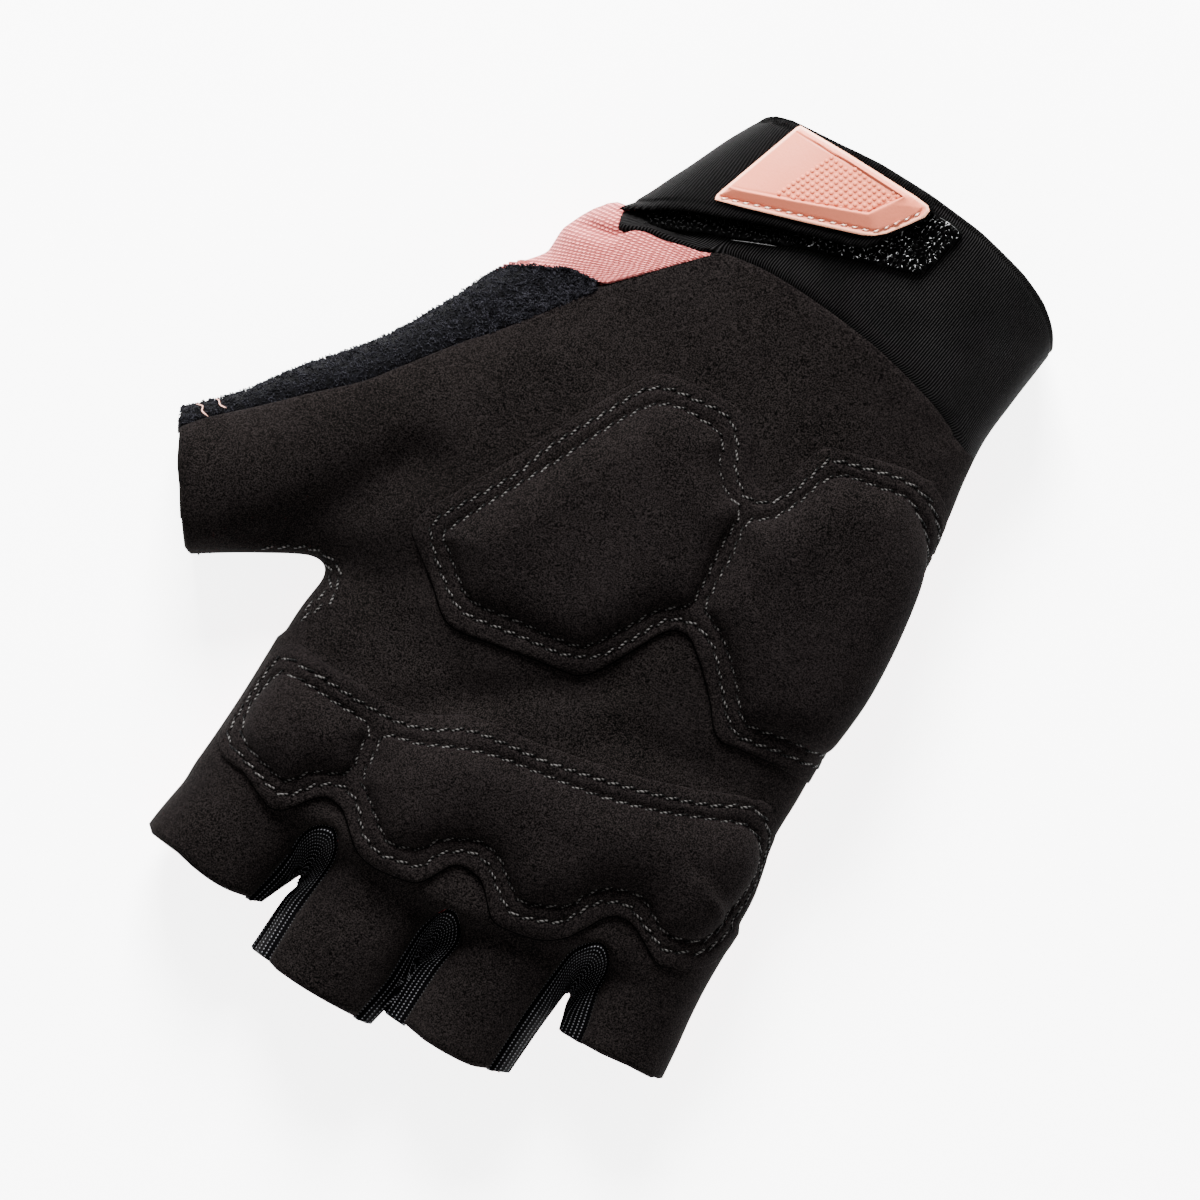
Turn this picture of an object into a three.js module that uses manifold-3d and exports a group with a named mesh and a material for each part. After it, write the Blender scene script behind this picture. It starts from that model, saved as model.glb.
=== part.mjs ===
// A fingerless cycling glove for the right hand, lying palm up on its back and keeping the form of the hand.
// Millimetres. +Y runs from the wrist to the fingers, +X to the thumb, +Z up out of the palm.
// The hand, the four fingers and the thumb are tubes through short tables of sections. Their union, less
// the same tubes drawn in by the cloth's thickness, is the hollow shell, which is then cut along its seams
// into the panels that the glove is sewn from. The pads, the strap and what it carries lie on the shell.
import * as THREE from "three";
import { mergeVertices } from "three/addons/utils/BufferGeometryUtils.js";
import Module from "manifold-3d";

const wasm = await Module();
wasm.setup();

// Driving dimensions
const CLOTH = 1.6; // thickness of every sewn panel
const GAP = 0.3; // clearance between neighbouring pieces
const SEAM_Z = 7; // height of the side seam between palm and back
const GUSSET_Z = 3; // height of the seam between a finger gusset and the back
const SIDE_SHARE = 0.42; // height of the widest line, as a share of the tube's height
const BELOW = -10; // under everything
const ABOVE = 60; // over everything
const OVERLAY = 1.2; // thickness of the pad covers at their stitched rims
const PAD_LIFT = 2.8; // how far the foam lifts a pad's middle above its rim
const PAD_SLOPE = 4.5; // width of a pad's rounded shoulder
const PAD_MESH = 3.5; // grid on a pad
const HOOK = 1.2; // hook patch on the cuff
const STRAP = 1.6; // wrist strap
const BADGE = 2; // moulded closure tab on the strap

// Sections of the tubes: station y along the tube, edges x0 and x1, top height. Each tube stands on z = 0.
const HAND = {
  turn: 0,
  around: 28,
  boxiness: 2.5,
  step: 8,
  rows: [
    { y: -88, x0: -50.5, x1: 3, top: 26 },
    { y: -80, x0: -50.5, x1: 4.5, top: 26 },
    { y: -70, x0: -50.4, x1: 9, top: 26 },
    { y: -60, x0: -49.6, x1: 13.2, top: 26 },
    { y: -52, x0: -49.2, x1: 17.8, top: 26 },
    { y: -45, x0: -50, x1: 25.2, top: 26 },
    { y: -38, x0: -51.3, x1: 26.3, top: 26 },
    { y: -24, x0: -53.7, x1: 27, top: 26 },
    { y: -8, x0: -55.5, x1: 27.4, top: 25.5 },
    { y: 8, x0: -55.2, x1: 27.4, top: 24.5 },
    { y: 20, x0: -56, x1: 27.3, top: 23.5 },
    { y: 30, x0: -58.2, x1: 28.2, top: 23 },
    { y: 38, x0: -58.6, x1: 28.1, top: 22 },
  ],
};
const FINGERS = [
  {
    name: "little",
    rows: [
      { y: 34, x0: -58.5, x1: -41, top: 20 },
      { y: 45, x0: -59.2, x1: -42.2, top: 18.5 },
      { y: 57, x0: -61, x1: -41.9, top: 16.5 },
      { y: 70, x0: -62.5, x1: -43.8, top: 15.5 },
    ],
  },
  {
    name: "ring",
    rows: [
      { y: 36, x0: -42, x1: -19, top: 22 },
      { y: 50, x0: -41.3, x1: -19, top: 20 },
      { y: 63, x0: -40.5, x1: -18.7, top: 18.5 },
      { y: 82, x0: -40.2, x1: -18.6, top: 17.5 },
    ],
  },
  {
    name: "middle",
    rows: [
      { y: 36, x0: -18.5, x1: 4.5, top: 22 },
      { y: 50, x0: -18, x1: 4.2, top: 21 },
      { y: 65, x0: -17.9, x1: 3.9, top: 19 },
      { y: 86, x0: -17.8, x1: 4.9, top: 18 },
    ],
  },
  {
    name: "index",
    rows: [
      { y: 36, x0: 5, x1: 28.2, top: 21.5 },
      { y: 48, x0: 5.1, x1: 27.7, top: 20.5 },
      { y: 62, x0: 5.4, x1: 28.6, top: 19 },
      { y: 70, x0: 7.2, x1: 29.3, top: 18.5 },
      { y: 80, x0: 8.2, x1: 29.8, top: 18 },
    ],
  },
];
const THUMB = {
  turn: -52, // the thumb's own axis is turned this far from +Y towards +X
  around: 24,
  boxiness: 2.3,
  step: 8,
  rows: [
    { y: -8, x0: -8, x1: 45, top: 23 },
    { y: -0.4, x0: -8, x1: 46, top: 24.5 },
    { y: 6.8, x0: -8, x1: 44, top: 25 },
    { y: 12.2, x0: -6, x1: 41.3, top: 25 },
    { y: 22.5, x0: -3, x1: 36.2, top: 24 },
    { y: 30.8, x0: 0, x1: 33.6, top: 22.5 },
    { y: 38.7, x0: 2.5, x1: 31.7, top: 21 },
    { y: 46, x0: 3.5, x1: 29.2, top: 20 },
    { y: 57, x0: 4.2, x1: 27.3, top: 19 },
    { y: 64, x0: 4.4, x1: 26.6, top: 18.5 },
  ],
};
// Where the hand ends between the fingers, from the little finger's edge to the index finger's.
const CROTCH = [
  { x: -62, y: 46 },
  { x: -42, y: 50.4 },
  { x: -19, y: 58.7 },
  { x: 5, y: 58.3 },
  { x: 30, y: 57 },
];
const CROTCH_TOP = 20; // the hand's height at the crotch
const CROTCH_LEAN = 7; // the crotch's lower edge reaches this much further than its upper one

// Soft valleys in the palm: from one end to the other, with half width and depth.
const VALLEYS = [
  { from: [38, 25], to: [24, -2], half: 7, depth: 2.6 },
  { from: [0, 26], to: [-34, 15], half: 6, depth: 1.6 },
  { from: [26, 20], to: [-2, 25], half: 5, depth: 1.4 },
];

// Seams, as lines on the plan. Those that run round a side go on past it.
const WRIST_POINT = [5, -52.6]; // where palm, cuff and back panel meet
const THENAR_POINT = [16, -39.2]; // where palm, thumb back and back panel meet
const SEAMS = {
  palm_cuff: [WRIST_POINT, [0, -54.3], [-6, -55.7], [-15, -56], [-28, -54.8], [-40, -52.2], [-46, -49.3], [-51, -42], [-64, -38]],
  palm_back: [THENAR_POINT, [10, -46.8], [7.5, -50.5], WRIST_POINT],
  palm_thumb: [[68, 23], [60, 15.5], [50, 4], [40, -5.5], [30, -19], [20, -32.3], THENAR_POINT],
  cuff_back: [WRIST_POINT, [12, -51.8], [16.5, -50], [18, -48.3], [20, -52.4], [34, -52.4]],
  thumb_back: [THENAR_POINT, [20, -38.6], [25, -36.8], [31, -33], [42, -27]],
  under_cuff: [[34, -52.4], [20, -52.4], [0, -54], [-28, -53], [-44, -48], [-51, -42], [-64, -38]],
  under_thumb: [[42, -27], [31, -33], [25, -20], [23, 0], [25.5, 14], [29.6, 22.6], [36, 34]],
};

// Openings in the palm for the finger gussets: the edge of the palm on the little finger's side, going down
// to the rounded end and up again on the thumb's side.
const GUSSETS = {
  gusset_little_ring: [[-47.5, 67], [-46, 60], [-44.8, 53], [-43.8, 50.2], [-42.2, 48.8], [-40.5, 49.2], [-39.2, 52], [-38, 60], [-37.6, 80]],
  gusset_ring_middle: [[-21.4, 82], [-21.6, 66], [-22, 61], [-21, 58.8], [-18.8, 57.2], [-17.1, 58], [-16.3, 60.5], [-16.4, 68], [-15.5, 84]],
  gusset_middle_index: [[1.8, 84], [2.1, 70], [1.9, 61.5], [2.9, 58], [4.7, 56.8], [6.7, 58], [7.9, 61], [8.2, 70], [9.8, 78]],
};

// Plan outline of the whole glove: exact at the mouths, clear of the tubes along their sides.
const FAR = 80;
const OUTLINE = [
  [-54, -66], [-49.6, -70.5], [-45, -75.5], [-35, -79], [-25, -80.5], [-12, -80.4], [-3, -79.7], [4, -78.2], [9, -76.5], [16, -72],
  [FAR, -72], [FAR, 4.6], [61.5, 13.3], [59, 17.5], [54, 25], [48.2, 31.9], [40, 40], [40, 72.5],
  [29.5, 72.8], [17, 74.3], [10, 73.6], [6, 72], [6, 80], [-5, 80.6], [-18.2, 79.9], [-18.2, 76.6],
  [-27, 77.1], [-35, 76.5], [-39, 75.2], [-41.6, 74], [-41.6, 64], [-50, 63.8], [-61.5, 61.8], [-FAR, 60], [-FAR, -66],
];

// Pad covers sewn on the palm, each with the foam pads that lift its middle. The outer edges run past the
// side of the hand where the cover wraps round it.
const HEEL_COVER = [
  [-66, 8.5], [-50, 9.3], [-40.5, 10.6], [-37.5, 9.4], [-33, 4.3], [-28.5, 0.8], [-25.8, 0], [-23, 1.4], [-20.4, 5.6],
  [-18, 11.6], [-15, 14.5], [-6, 16.7], [1, 18.7], [6.5, 19.1], [10, 17.2], [19, 10.3], [20, 7.5], [17, 0.5],
  [12.3, -9], [7, -21], [3.5, -28], [0.5, -32.4], [-4, -34], [-12, -34.8], [-16, -33.6], [-19.5, -28.5],
  [-22.5, -25.8], [-25, -26.8], [-26.3, -31], [-27.7, -36.2], [-31, -38.2], [-41, -41.3], [-47, -41.6], [-66, -38],
];
const THUMB_SIDE_PAD = [
  [12.6, 8.6], [8, 12], [4.6, 12.9], [-4, 11.4], [-10.6, 9.8], [-13.8, 6.6], [-18, -0.8], [-22.4, -5.4],
  [-21.8, -15], [-21, -20.6], [-16, -24], [-12.4, -28.6], [-5.5, -28.6], [-1.4, -25.4], [3, -17], [9, -4.4], [13.4, 5],
];
const LITTLE_SIDE_PAD = [
  [-52, 3.6], [-42.5, 5.4], [-39.6, 4], [-33.6, -2.4], [-27.2, -6], [-26.8, -16], [-27, -21.6], [-30.6, -27],
  [-32.6, -33], [-44, -36], [-48.5, -33], [-51, -18],
];
const KNUCKLE_COVER = [
  [-66, 40], [-58, 41.2], [-55, 44.6], [-51, 46.3], [-46, 44], [-42.5, 43.3], [-39.4, 44.8], [-36.5, 50], [-32, 53.7],
  [-26.5, 55], [-24, 54.2], [-20.5, 50.8], [-17, 50], [-14.6, 51.2], [-12.2, 55.4], [-8.5, 57.5], [-4.5, 58.1], [-1, 57.5],
  [3.4, 54], [7, 52.8], [9.4, 53.6], [13, 58.4], [15.5, 58.9], [26, 55.2], [27.1, 53.8], [27.4, 45], [26.8, 38],
  [25, 35.4], [6, 34.6], [1.5, 33], [-4.5, 29.4], [-15, 27.4], [-30, 23.6], [-40, 20.1], [-50, 15.6], [-54.5, 16.6], [-66, 22],
];
const KNUCKLE_PAD = [
  [-53.2, 25], [-50.2, 21.8], [-40, 26.2], [-20, 32.4], [-8, 35], [-3, 37.6], [5.2, 41], [6, 46], [2, 47.8], [-2.6, 51],
  [-5, 51.6], [-8, 50], [-11, 46], [-17.5, 43.8], [-22.4, 45.4], [-26.6, 48.2], [-32, 45.6], [-35.6, 40.4], [-42, 37.4], [-49.4, 39.6], [-52.8, 37.6],
];
const INDEX_PAD = [[9.2, 41], [22.6, 41], [23.6, 44.6], [22.8, 50.4], [15.8, 52.4], [12, 48.4], [9, 46.6]];

// What closes the wrist: the hook patch on the cuff, the strap over it and the moulded tab on the strap.
const HOOK_PATCH = [[12, -54.2], [2.5, -57.5], [-10, -62.8], [-24, -67.2], [-26.2, -68.4], [-28.3, -76.4], [-27, -77.7], [-18, -77.9], [4, -64]];
const STRAP_OUTLINE = [
  [30, -52.9], [20.2, -52.9], [15, -55.3], [9, -59.4], [0, -62.3], [-8, -65.2], [-15.8, -67.4], [-17.4, -68.8], [-20.8, -73],
  [-22, -77.4], [-21.4, -79.3], [-10, -79.6], [2, -78.8], [30, -76],
];
const BADGE_OUTLINE = [
  [8, -60.9], [8.2, -62.2], [3.2, -77.8], [-19.6, -78.1], [-21.2, -77.4], [-20.6, -75], [-16.8, -70.3], [-14.6, -68.8], [-9, -66.9],
];
const STRAP_LOW = 5; // the strap goes round the thumb's side of the wrist down to this height

// Colours and finishes
const finish = (color, roughness, metalness = 0) => new THREE.MeshStandardMaterial({ color, roughness, metalness });
const SUEDE = finish(0x2b2724, 0.95);
const MESH_CLOTH = finish(0xe3a9a4, 0.9);
const TERRY = finish(0x1a1b21, 1);
const KNIT = finish(0x17171a, 0.85);
const WEBBING = finish(0x1c1c1f, 0.8);
const HOOK_PLASTIC = finish(0x0e0e10, 0.5);
const MOULDED = finish(0xeab3a2, 0.55);

const lerp = THREE.MathUtils.lerp;

// A value of a table at a station, on a smooth curve through its rows.
function smoothRow(rows, y) {
  const last = rows.length - 2;
  let i = 0;
  while (i < last && y > rows[i + 1].y) i++;
  const [a, b] = [rows[i], rows[i + 1]];
  const [before, after] = [rows[Math.max(i - 1, 0)], rows[Math.min(i + 2, rows.length - 1)]];
  const t = (y - a.y) / (b.y - a.y);
  const at = (key) => {
    const slopeA = ((b[key] - before[key]) / (b.y - before.y)) * (b.y - a.y);
    const slopeB = ((after[key] - a[key]) / (after.y - a.y)) * (b.y - a.y);
    return (
      (2 * t ** 3 - 3 * t ** 2 + 1) * a[key] + (t ** 3 - 2 * t ** 2 + t) * slopeA +
      (3 * t ** 2 - 2 * t ** 3) * b[key] + (t ** 3 - t ** 2) * slopeB
    );
  };
  return { y, x0: at("x0"), x1: at("x1"), top: at("top") };
}

// Linear interpolation in the crotch table.
function crotchAt(x) {
  let i = 0;
  while (i < CROTCH.length - 2 && x > CROTCH[i + 1].x) i++;
  const [a, b] = [CROTCH[i], CROTCH[i + 1]];
  return lerp(a.y, b.y, THREE.MathUtils.clamp((x - a.x) / (b.x - a.x), 0, 1));
}

// How far the palm sinks at a place on the plan.
function valleyDepth(x, y) {
  let depth = 0;
  for (const v of VALLEYS) {
    const line = new THREE.Line3(new THREE.Vector3(...v.from, 0), new THREE.Vector3(...v.to, 0));
    const here = new THREE.Vector3(x, y, 0);
    const near = line.closestPointToPoint(here, true, new THREE.Vector3());
    depth += v.depth * Math.exp(-((here.distanceTo(near) / v.half) ** 2));
  }
  return depth;
}

const turned = (x, y, degrees) => {
  const a = THREE.MathUtils.degToRad(degrees);
  return [x * Math.cos(a) - y * Math.sin(a), x * Math.sin(a) + y * Math.cos(a)];
};

// One ring of a tube: a rounded box with a flat foot, grown outwards by the given amount.
function ringOf(row, tube, grow, crotch) {
  const points = [];
  const half = (row.x1 - row.x0) / 2 + grow;
  const middle = (row.x0 + row.x1) / 2;
  const side = row.top * SIDE_SHARE;
  for (let i = 0; i < tube.around; i++) {
    const angle = ((i + 0.5) / tube.around) * 2 * Math.PI;
    const [c, s] = [Math.cos(angle), Math.sin(angle)];
    const across = Math.sign(c) * Math.abs(c) ** (2 / tube.boxiness);
    const up = Math.abs(s) ** (2 / tube.boxiness);
    const x = middle + half * across;
    const flatFoot = Math.min(1, up * 1.1);
    let z = s > 0 ? side + (row.top - side + grow) * up : side - (side + grow) * flatFoot;
    const y = crotch ? crotchAt(x) + CROTCH_LEAN * (1 - z / row.top) + grow : row.y;
    const [planX, planY] = turned(x, y, tube.turn);
    if (s > 0) z -= valleyDepth(planX, planY) * up;
    points.push(planX, planY, z);
  }
  return points;
}

// A closed tube through the rings of a table, as a manifold solid.
function tubeSolid(tube, grow) {
  const [first, last] = [tube.rows[0].y, tube.rows.at(-1).y];
  const steps = Math.ceil((last - first) / tube.step);
  const rings = [];
  for (let i = 0; i <= steps; i++) rings.push(ringOf(smoothRow(tube.rows, lerp(first, last, i / steps)), tube, grow, false));
  if (tube.endsAtCrotch) rings.push(ringOf({ ...tube.rows.at(-1), top: CROTCH_TOP }, tube, grow, true));
  const n = tube.around;
  const vertices = rings.flat();
  const faces = [];
  for (let r = 0; r + 1 < rings.length; r++)
    for (let i = 0; i < n; i++) {
      const [a, b] = [r * n + i, r * n + ((i + 1) % n)];
      faces.push(a, b, b + n, a, b + n, a + n);
    }
  const top = (rings.length - 1) * n;
  for (let i = 0; i + 1 < n / 2; i++) {
    const [a, b, c, d] = [i, i + 1, n - 2 - i, n - 1 - i];
    faces.push(a, c, b, a, d, c);
    faces.push(top + a, top + b, top + c, top + a, top + c, top + d);
  }
  return oriented(vertices, faces);
}

// A solid from vertices and faces that may all point inwards.
function oriented(vertices, faces) {
  const make = (triangles) =>
    new wasm.Manifold(new wasm.Mesh({ numProp: 3, vertProperties: new Float32Array(vertices), triVerts: new Uint32Array(triangles) }));
  const made = make(faces);
  if (made.volume() > 0) return made;
  const swapped = faces.slice();
  for (let i = 0; i < swapped.length; i += 3) [swapped[i + 1], swapped[i + 2]] = [swapped[i + 2], swapped[i + 1]];
  return make(swapped);
}

// A three.js geometry as a manifold solid.
function solidOf(geometry) {
  geometry.deleteAttribute("normal");
  geometry.deleteAttribute("uv");
  const merged = mergeVertices(geometry, 1e-4);
  return oriented(merged.attributes.position.array, [...merged.index.array]);
}

// A plan outline drawn up from z = low to z = high.
function prism(outline, low = BELOW, high = ABOVE) {
  const shape = new THREE.Shape(outline.map(([x, y]) => new THREE.Vector2(x, y)));
  const geometry = new THREE.ExtrudeGeometry(shape, { depth: high - low, bevelEnabled: false });
  geometry.translate(0, 0, low);
  return solidOf(geometry);
}

// The outline of a strip of the given width along a line.
function stripAlong(line, width) {
  const points = line.map(([x, y]) => new THREE.Vector2(x, y));
  const sides = points.map((p, i) => {
    const ahead = points[Math.min(i + 1, points.length - 1)].clone().sub(points[Math.max(i - 1, 0)]).normalize();
    return new THREE.Vector2(-ahead.y, ahead.x).multiplyScalar(width / 2);
  });
  const left = points.map((p, i) => p.clone().add(sides[i]));
  const right = points.map((p, i) => p.clone().sub(sides[i])).reverse();
  return [...left, ...right].map((p) => [p.x, p.y]);
}

const cutAlong = (line, low, high) => prism(stripAlong(line, GAP), low, high);
const union = (solids) => solids.reduce((all, one) => all.add(one));

// The whole glove as one closed form, grown outwards by the given amount.
function form(grow) {
  const fingers = FINGERS.map((finger) => ({ turn: 0, around: 18, boxiness: 2.2, step: 12, ...finger }));
  return union([tubeSolid({ ...HAND, endsAtCrotch: true }, grow), tubeSolid(THUMB, grow), ...fingers.map((f) => tubeSolid(f, grow))]);
}

const skin = form(0);
const shell = skin.subtract(form(-CLOTH)).intersect(prism(OUTLINE));

// Plan regions of the panels, bounded by the seams
const palmRegion = [
  ...SEAMS.palm_cuff.slice().reverse(), ...SEAMS.palm_back.slice(1, -1).reverse(), ...SEAMS.palm_thumb.slice().reverse(),
  [FAR, 40], [FAR, FAR + 10], [-FAR, FAR + 10], [-FAR, -38],
];
const cuffTop = [...SEAMS.cuff_back.slice().reverse(), ...SEAMS.palm_cuff.slice(1), [-FAR, -38], [-FAR, -FAR - 10], [FAR, -FAR - 10], [FAR, -52.4]];
const cuffUnder = [...SEAMS.under_cuff, [-FAR, -38], [-FAR, -FAR - 10], [FAR, -FAR - 10], [FAR, -52.4]];
const thumbTop = [...SEAMS.palm_thumb, ...SEAMS.thumb_back.slice(1), [FAR, -27], [FAR, 23]];
const thumbUnder = [...SEAMS.under_thumb, [36, FAR], [FAR, FAR], [FAR, -27]];

const gussetPrisms = Object.entries(GUSSETS).map(([name, outline]) => ({ name, inside: prism(outline, GUSSET_Z, ABOVE) }));
const gussets = union(gussetPrisms.map((g) => g.inside));
const sideSeam = prism(palmRegion, SEAM_Z - GAP / 2, SEAM_Z + GAP / 2).subtract(gussets);
const cuts = union([
  sideSeam,
  cutAlong(SEAMS.palm_cuff, SEAM_Z, ABOVE), cutAlong(SEAMS.palm_back, SEAM_Z, ABOVE), cutAlong(SEAMS.palm_thumb, SEAM_Z, ABOVE),
  cutAlong(SEAMS.cuff_back, SEAM_Z - GAP, ABOVE), cutAlong(SEAMS.thumb_back, SEAM_Z - GAP, ABOVE),
  cutAlong(SEAMS.under_cuff, BELOW, SEAM_Z), cutAlong(SEAMS.under_thumb, BELOW, SEAM_Z),
  ...Object.values(GUSSETS).map((line) => cutAlong(line, GUSSET_Z - GAP, ABOVE)),
  ...Object.values(GUSSETS).map((line) => prism(line, GUSSET_Z - GAP, GUSSET_Z)),
]);
const panels = shell.subtract(cuts);
const palmSpace = prism(palmRegion, SEAM_Z, ABOVE).subtract(gussets);
const cuffSpace = prism(cuffTop, SEAM_Z, ABOVE).add(prism(cuffUnder, BELOW, SEAM_Z));
const thumbSpace = prism(thumbTop, SEAM_Z, ABOVE).add(prism(thumbUnder, BELOW, SEAM_Z)).subtract(gussets);
const backSpace = prism(OUTLINE).subtract(union([palmSpace, cuffSpace, thumbSpace, gussets]));

// Distance from a place to an outline, counted negative outside it.
function depthInside(outline, x, y) {
  const here = new THREE.Vector3(x, y, 0);
  const corners = outline.map(([cx, cy]) => new THREE.Vector3(cx, cy, 0));
  let [nearest, inside] = [Infinity, false];
  for (let i = 0; i < corners.length; i++) {
    const [a, b] = [corners[i], corners[(i + 1) % corners.length]];
    const point = new THREE.Line3(a, b).closestPointToPoint(here, true, new THREE.Vector3());
    nearest = Math.min(nearest, here.distanceTo(point));
    if (a.y > y !== b.y > y && x < ((b.x - a.x) * (y - a.y)) / (b.y - a.y) + a.x) inside = !inside;
  }
  return inside ? nearest : -nearest;
}

// Height of the palm at a place on the plan, from the sections of the hand.
function palmHeight(x, y) {
  const row = smoothRow(HAND.rows, y);
  const side = row.top * SIDE_SHARE;
  const across = Math.abs(x - (row.x0 + row.x1) / 2) / ((row.x1 - row.x0) / 2);
  const up = Math.max(0, 1 - Math.min(across, 0.99) ** HAND.boxiness) ** (1 / HAND.boxiness);
  return side + (row.top - side) * up - valleyDepth(x, y) * up;
}

// The foam under a cover: a rounded shoulder rises from its outline to the full lift, and past the outline
// the surface sinks out of sight into the cover.
function pad(outline) {
  const xs = outline.map((p) => p[0]);
  const ys = outline.map((p) => p[1]);
  const [x0, x1, y0, y1] = [Math.min(...xs) - 2, Math.max(...xs) + 2, Math.min(...ys) - 2, Math.max(...ys) + 2];
  const [columns, rows] = [Math.ceil((x1 - x0) / PAD_MESH), Math.ceil((y1 - y0) / PAD_MESH)];
  const block = new THREE.BoxGeometry(x1 - x0, y1 - y0, 1, columns, rows, 1);
  block.translate((x0 + x1) / 2, (y0 + y1) / 2, 0);
  const place = block.attributes.position;
  for (let i = 0; i < place.count; i++) {
    const [x, y] = [place.getX(i), place.getY(i)];
    const depth = depthInside(outline, x, y);
    const shoulder = 1 - Math.min(1, Math.max(0, depth) / PAD_SLOPE);
    const lift = depth > 0 ? PAD_LIFT * Math.sqrt(1 - shoulder ** 2) : depth;
    place.setZ(i, place.getZ(i) > 0 ? palmHeight(x, y) + GAP + OVERLAY + lift : SEAM_Z + 2);
  }
  return solidOf(block);
}

const lyingOn = form(GAP);
const coverHeight = form(GAP + OVERLAY);
const padHeight = form(GAP + OVERLAY + PAD_LIFT);
function cover(outline, pads) {
  const sheet = prism(outline, SEAM_Z + 1, ABOVE).intersect(coverHeight);
  return union([sheet, ...pads.map((p) => pad(p).intersect(padHeight))]).subtract(lyingOn);
}
const heelCover = cover(HEEL_COVER, [THUMB_SIDE_PAD, LITTLE_SIDE_PAD]);
const knuckleCover = cover(KNUCKLE_COVER, [KNUCKLE_PAD, INDEX_PAD]);

const hookTop = GAP + HOOK;
const strapUnder = hookTop + GAP;
const strapTop = strapUnder + STRAP;
const badgeUnder = strapTop + GAP;
const layer = (outline, under, over, low) => prism(outline, low, ABOVE).intersect(form(over)).subtract(form(under));

const glove = new THREE.Group();

// Cutting leaves specks where seams meet, so a piece is the largest body of its solid.
function addPiece(name, solid, material) {
  const bodies = solid.decompose().sort((a, b) => b.volume() - a.volume());
  const mesh = bodies[0].getMesh();
  const geometry = new THREE.BufferGeometry()
    .setAttribute("position", new THREE.BufferAttribute(new Float32Array(mesh.vertProperties), 3))
    .setIndex(new THREE.BufferAttribute(mesh.triVerts, 1));
  geometry.computeVertexNormals();
  const piece = new THREE.Mesh(geometry, material);
  piece.name = name;
  glove.add(piece);
}

addPiece("palm", panels.intersect(palmSpace), SUEDE);
addPiece("back", panels.intersect(backSpace), MESH_CLOTH);
addPiece("thumb_back", panels.intersect(thumbSpace), TERRY);
addPiece("cuff", panels.intersect(cuffSpace), KNIT);
for (const g of gussetPrisms) addPiece(g.name, panels.intersect(g.inside), WEBBING);
addPiece("heel_cover", heelCover, SUEDE);
addPiece("knuckle_cover", knuckleCover, SUEDE);
addPiece("hook_patch", layer(HOOK_PATCH, GAP, hookTop, SEAM_Z), HOOK_PLASTIC);
addPiece("strap", layer(STRAP_OUTLINE, strapUnder, strapTop, STRAP_LOW), KNIT);
addPiece("closure_tab", layer(BADGE_OUTLINE, badgeUnder, badgeUnder + BADGE, SEAM_Z), MOULDED);

export default glove;
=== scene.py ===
"""A right-hand fingerless cycling glove that lies palm up and keeps the form of a hand.

Shapes are worked out in millimetres and put into their meshes in metres. +Y runs from the wrist to the
fingers, +X to the thumb, +Z up out of the palm.
"""

import bpy
import numpy as np
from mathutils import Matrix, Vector


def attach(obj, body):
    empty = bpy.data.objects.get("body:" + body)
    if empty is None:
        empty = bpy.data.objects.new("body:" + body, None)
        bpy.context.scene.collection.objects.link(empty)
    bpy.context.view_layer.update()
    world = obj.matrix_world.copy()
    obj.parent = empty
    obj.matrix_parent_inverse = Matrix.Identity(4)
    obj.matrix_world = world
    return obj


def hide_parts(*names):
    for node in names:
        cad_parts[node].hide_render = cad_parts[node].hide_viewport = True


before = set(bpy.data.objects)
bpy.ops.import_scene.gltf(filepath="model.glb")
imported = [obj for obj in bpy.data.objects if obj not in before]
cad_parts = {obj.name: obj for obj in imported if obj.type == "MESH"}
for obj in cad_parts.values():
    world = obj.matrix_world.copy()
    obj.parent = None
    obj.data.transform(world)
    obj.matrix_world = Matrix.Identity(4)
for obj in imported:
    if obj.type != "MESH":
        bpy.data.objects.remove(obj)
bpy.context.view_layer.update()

# The palm: one panel of dark synthetic suede that runs on over the palm sides of the short fingers and the
# thumb and wraps round the glove's edges to a seam at the side. The form of the hand comes first, since
# every panel lies on it: tubes through short tables, melted into one another.

# Sections: station along the tube, left edge, right edge, top height, all from the CAD part.
HAND = [
    (-88, -50.5, 3, 26),
    (-80, -50.5, 4.5, 26),
    (-70, -50.4, 9, 26),
    (-60, -49.6, 13.2, 26),
    (-52, -49.2, 17.8, 26),
    (-45, -50, 25.2, 26),
    (-38, -51.3, 26.3, 26),
    (-30, -52.1, 26.7, 26),
    (-24, -53.2, 27, 26),
    (-8, -55.1, 27.4, 25.5),
    (3, -54.8, 27.4, 24.9),
    (12, -55.4, 27.4, 24.1),
    (20, -55.7, 27.3, 23.5),
    (30, -57.9, 28.2, 23),
    (38, -58.3, 28.1, 22),
]
LITTLE = [(34, -58.5, -41, 20), (45, -59.2, -42.2, 18.5), (57, -61, -41.9, 16.5), (70, -62.5, -43.8, 15.5)]
RING = [(36, -42, -19, 22), (50, -41.3, -19, 20), (63, -40.5, -18.7, 18.5), (82, -40.2, -18.6, 17.5)]
MIDDLE = [(36, -18.5, 4.5, 22), (50, -18, 4.2, 21), (65, -17.9, 3.9, 19), (86, -17.8, 4.9, 18)]
INDEX = [
    (36, 5, 28.2, 21.5), (48, 5.1, 27.7, 20.5), (62, 5.4, 28.6, 19), (70, 7.2, 29.6, 18.5), (80, 8.2, 30.2, 18),
]
THUMB = [
    (-8, -8, 45, 23),
    (-0.4, -8, 45.8, 24.5),
    (6.8, -8, 43.8, 25),
    (12.2, -6, 40.9, 25),
    (22.5, -3.4, 36.2, 24),
    (30.8, -0.5, 33.8, 22.5),
    (38.7, 2.1, 31.8, 21),
    (46, 3.1, 29.3, 20),
    (57, 3.9, 27.4, 19),
    (64, 4.1, 26.7, 18.5),
]
THUMB_TURN = np.radians(-52)
THUMB_AXIS = np.array([-np.sin(THUMB_TURN), np.cos(THUMB_TURN)])
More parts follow.
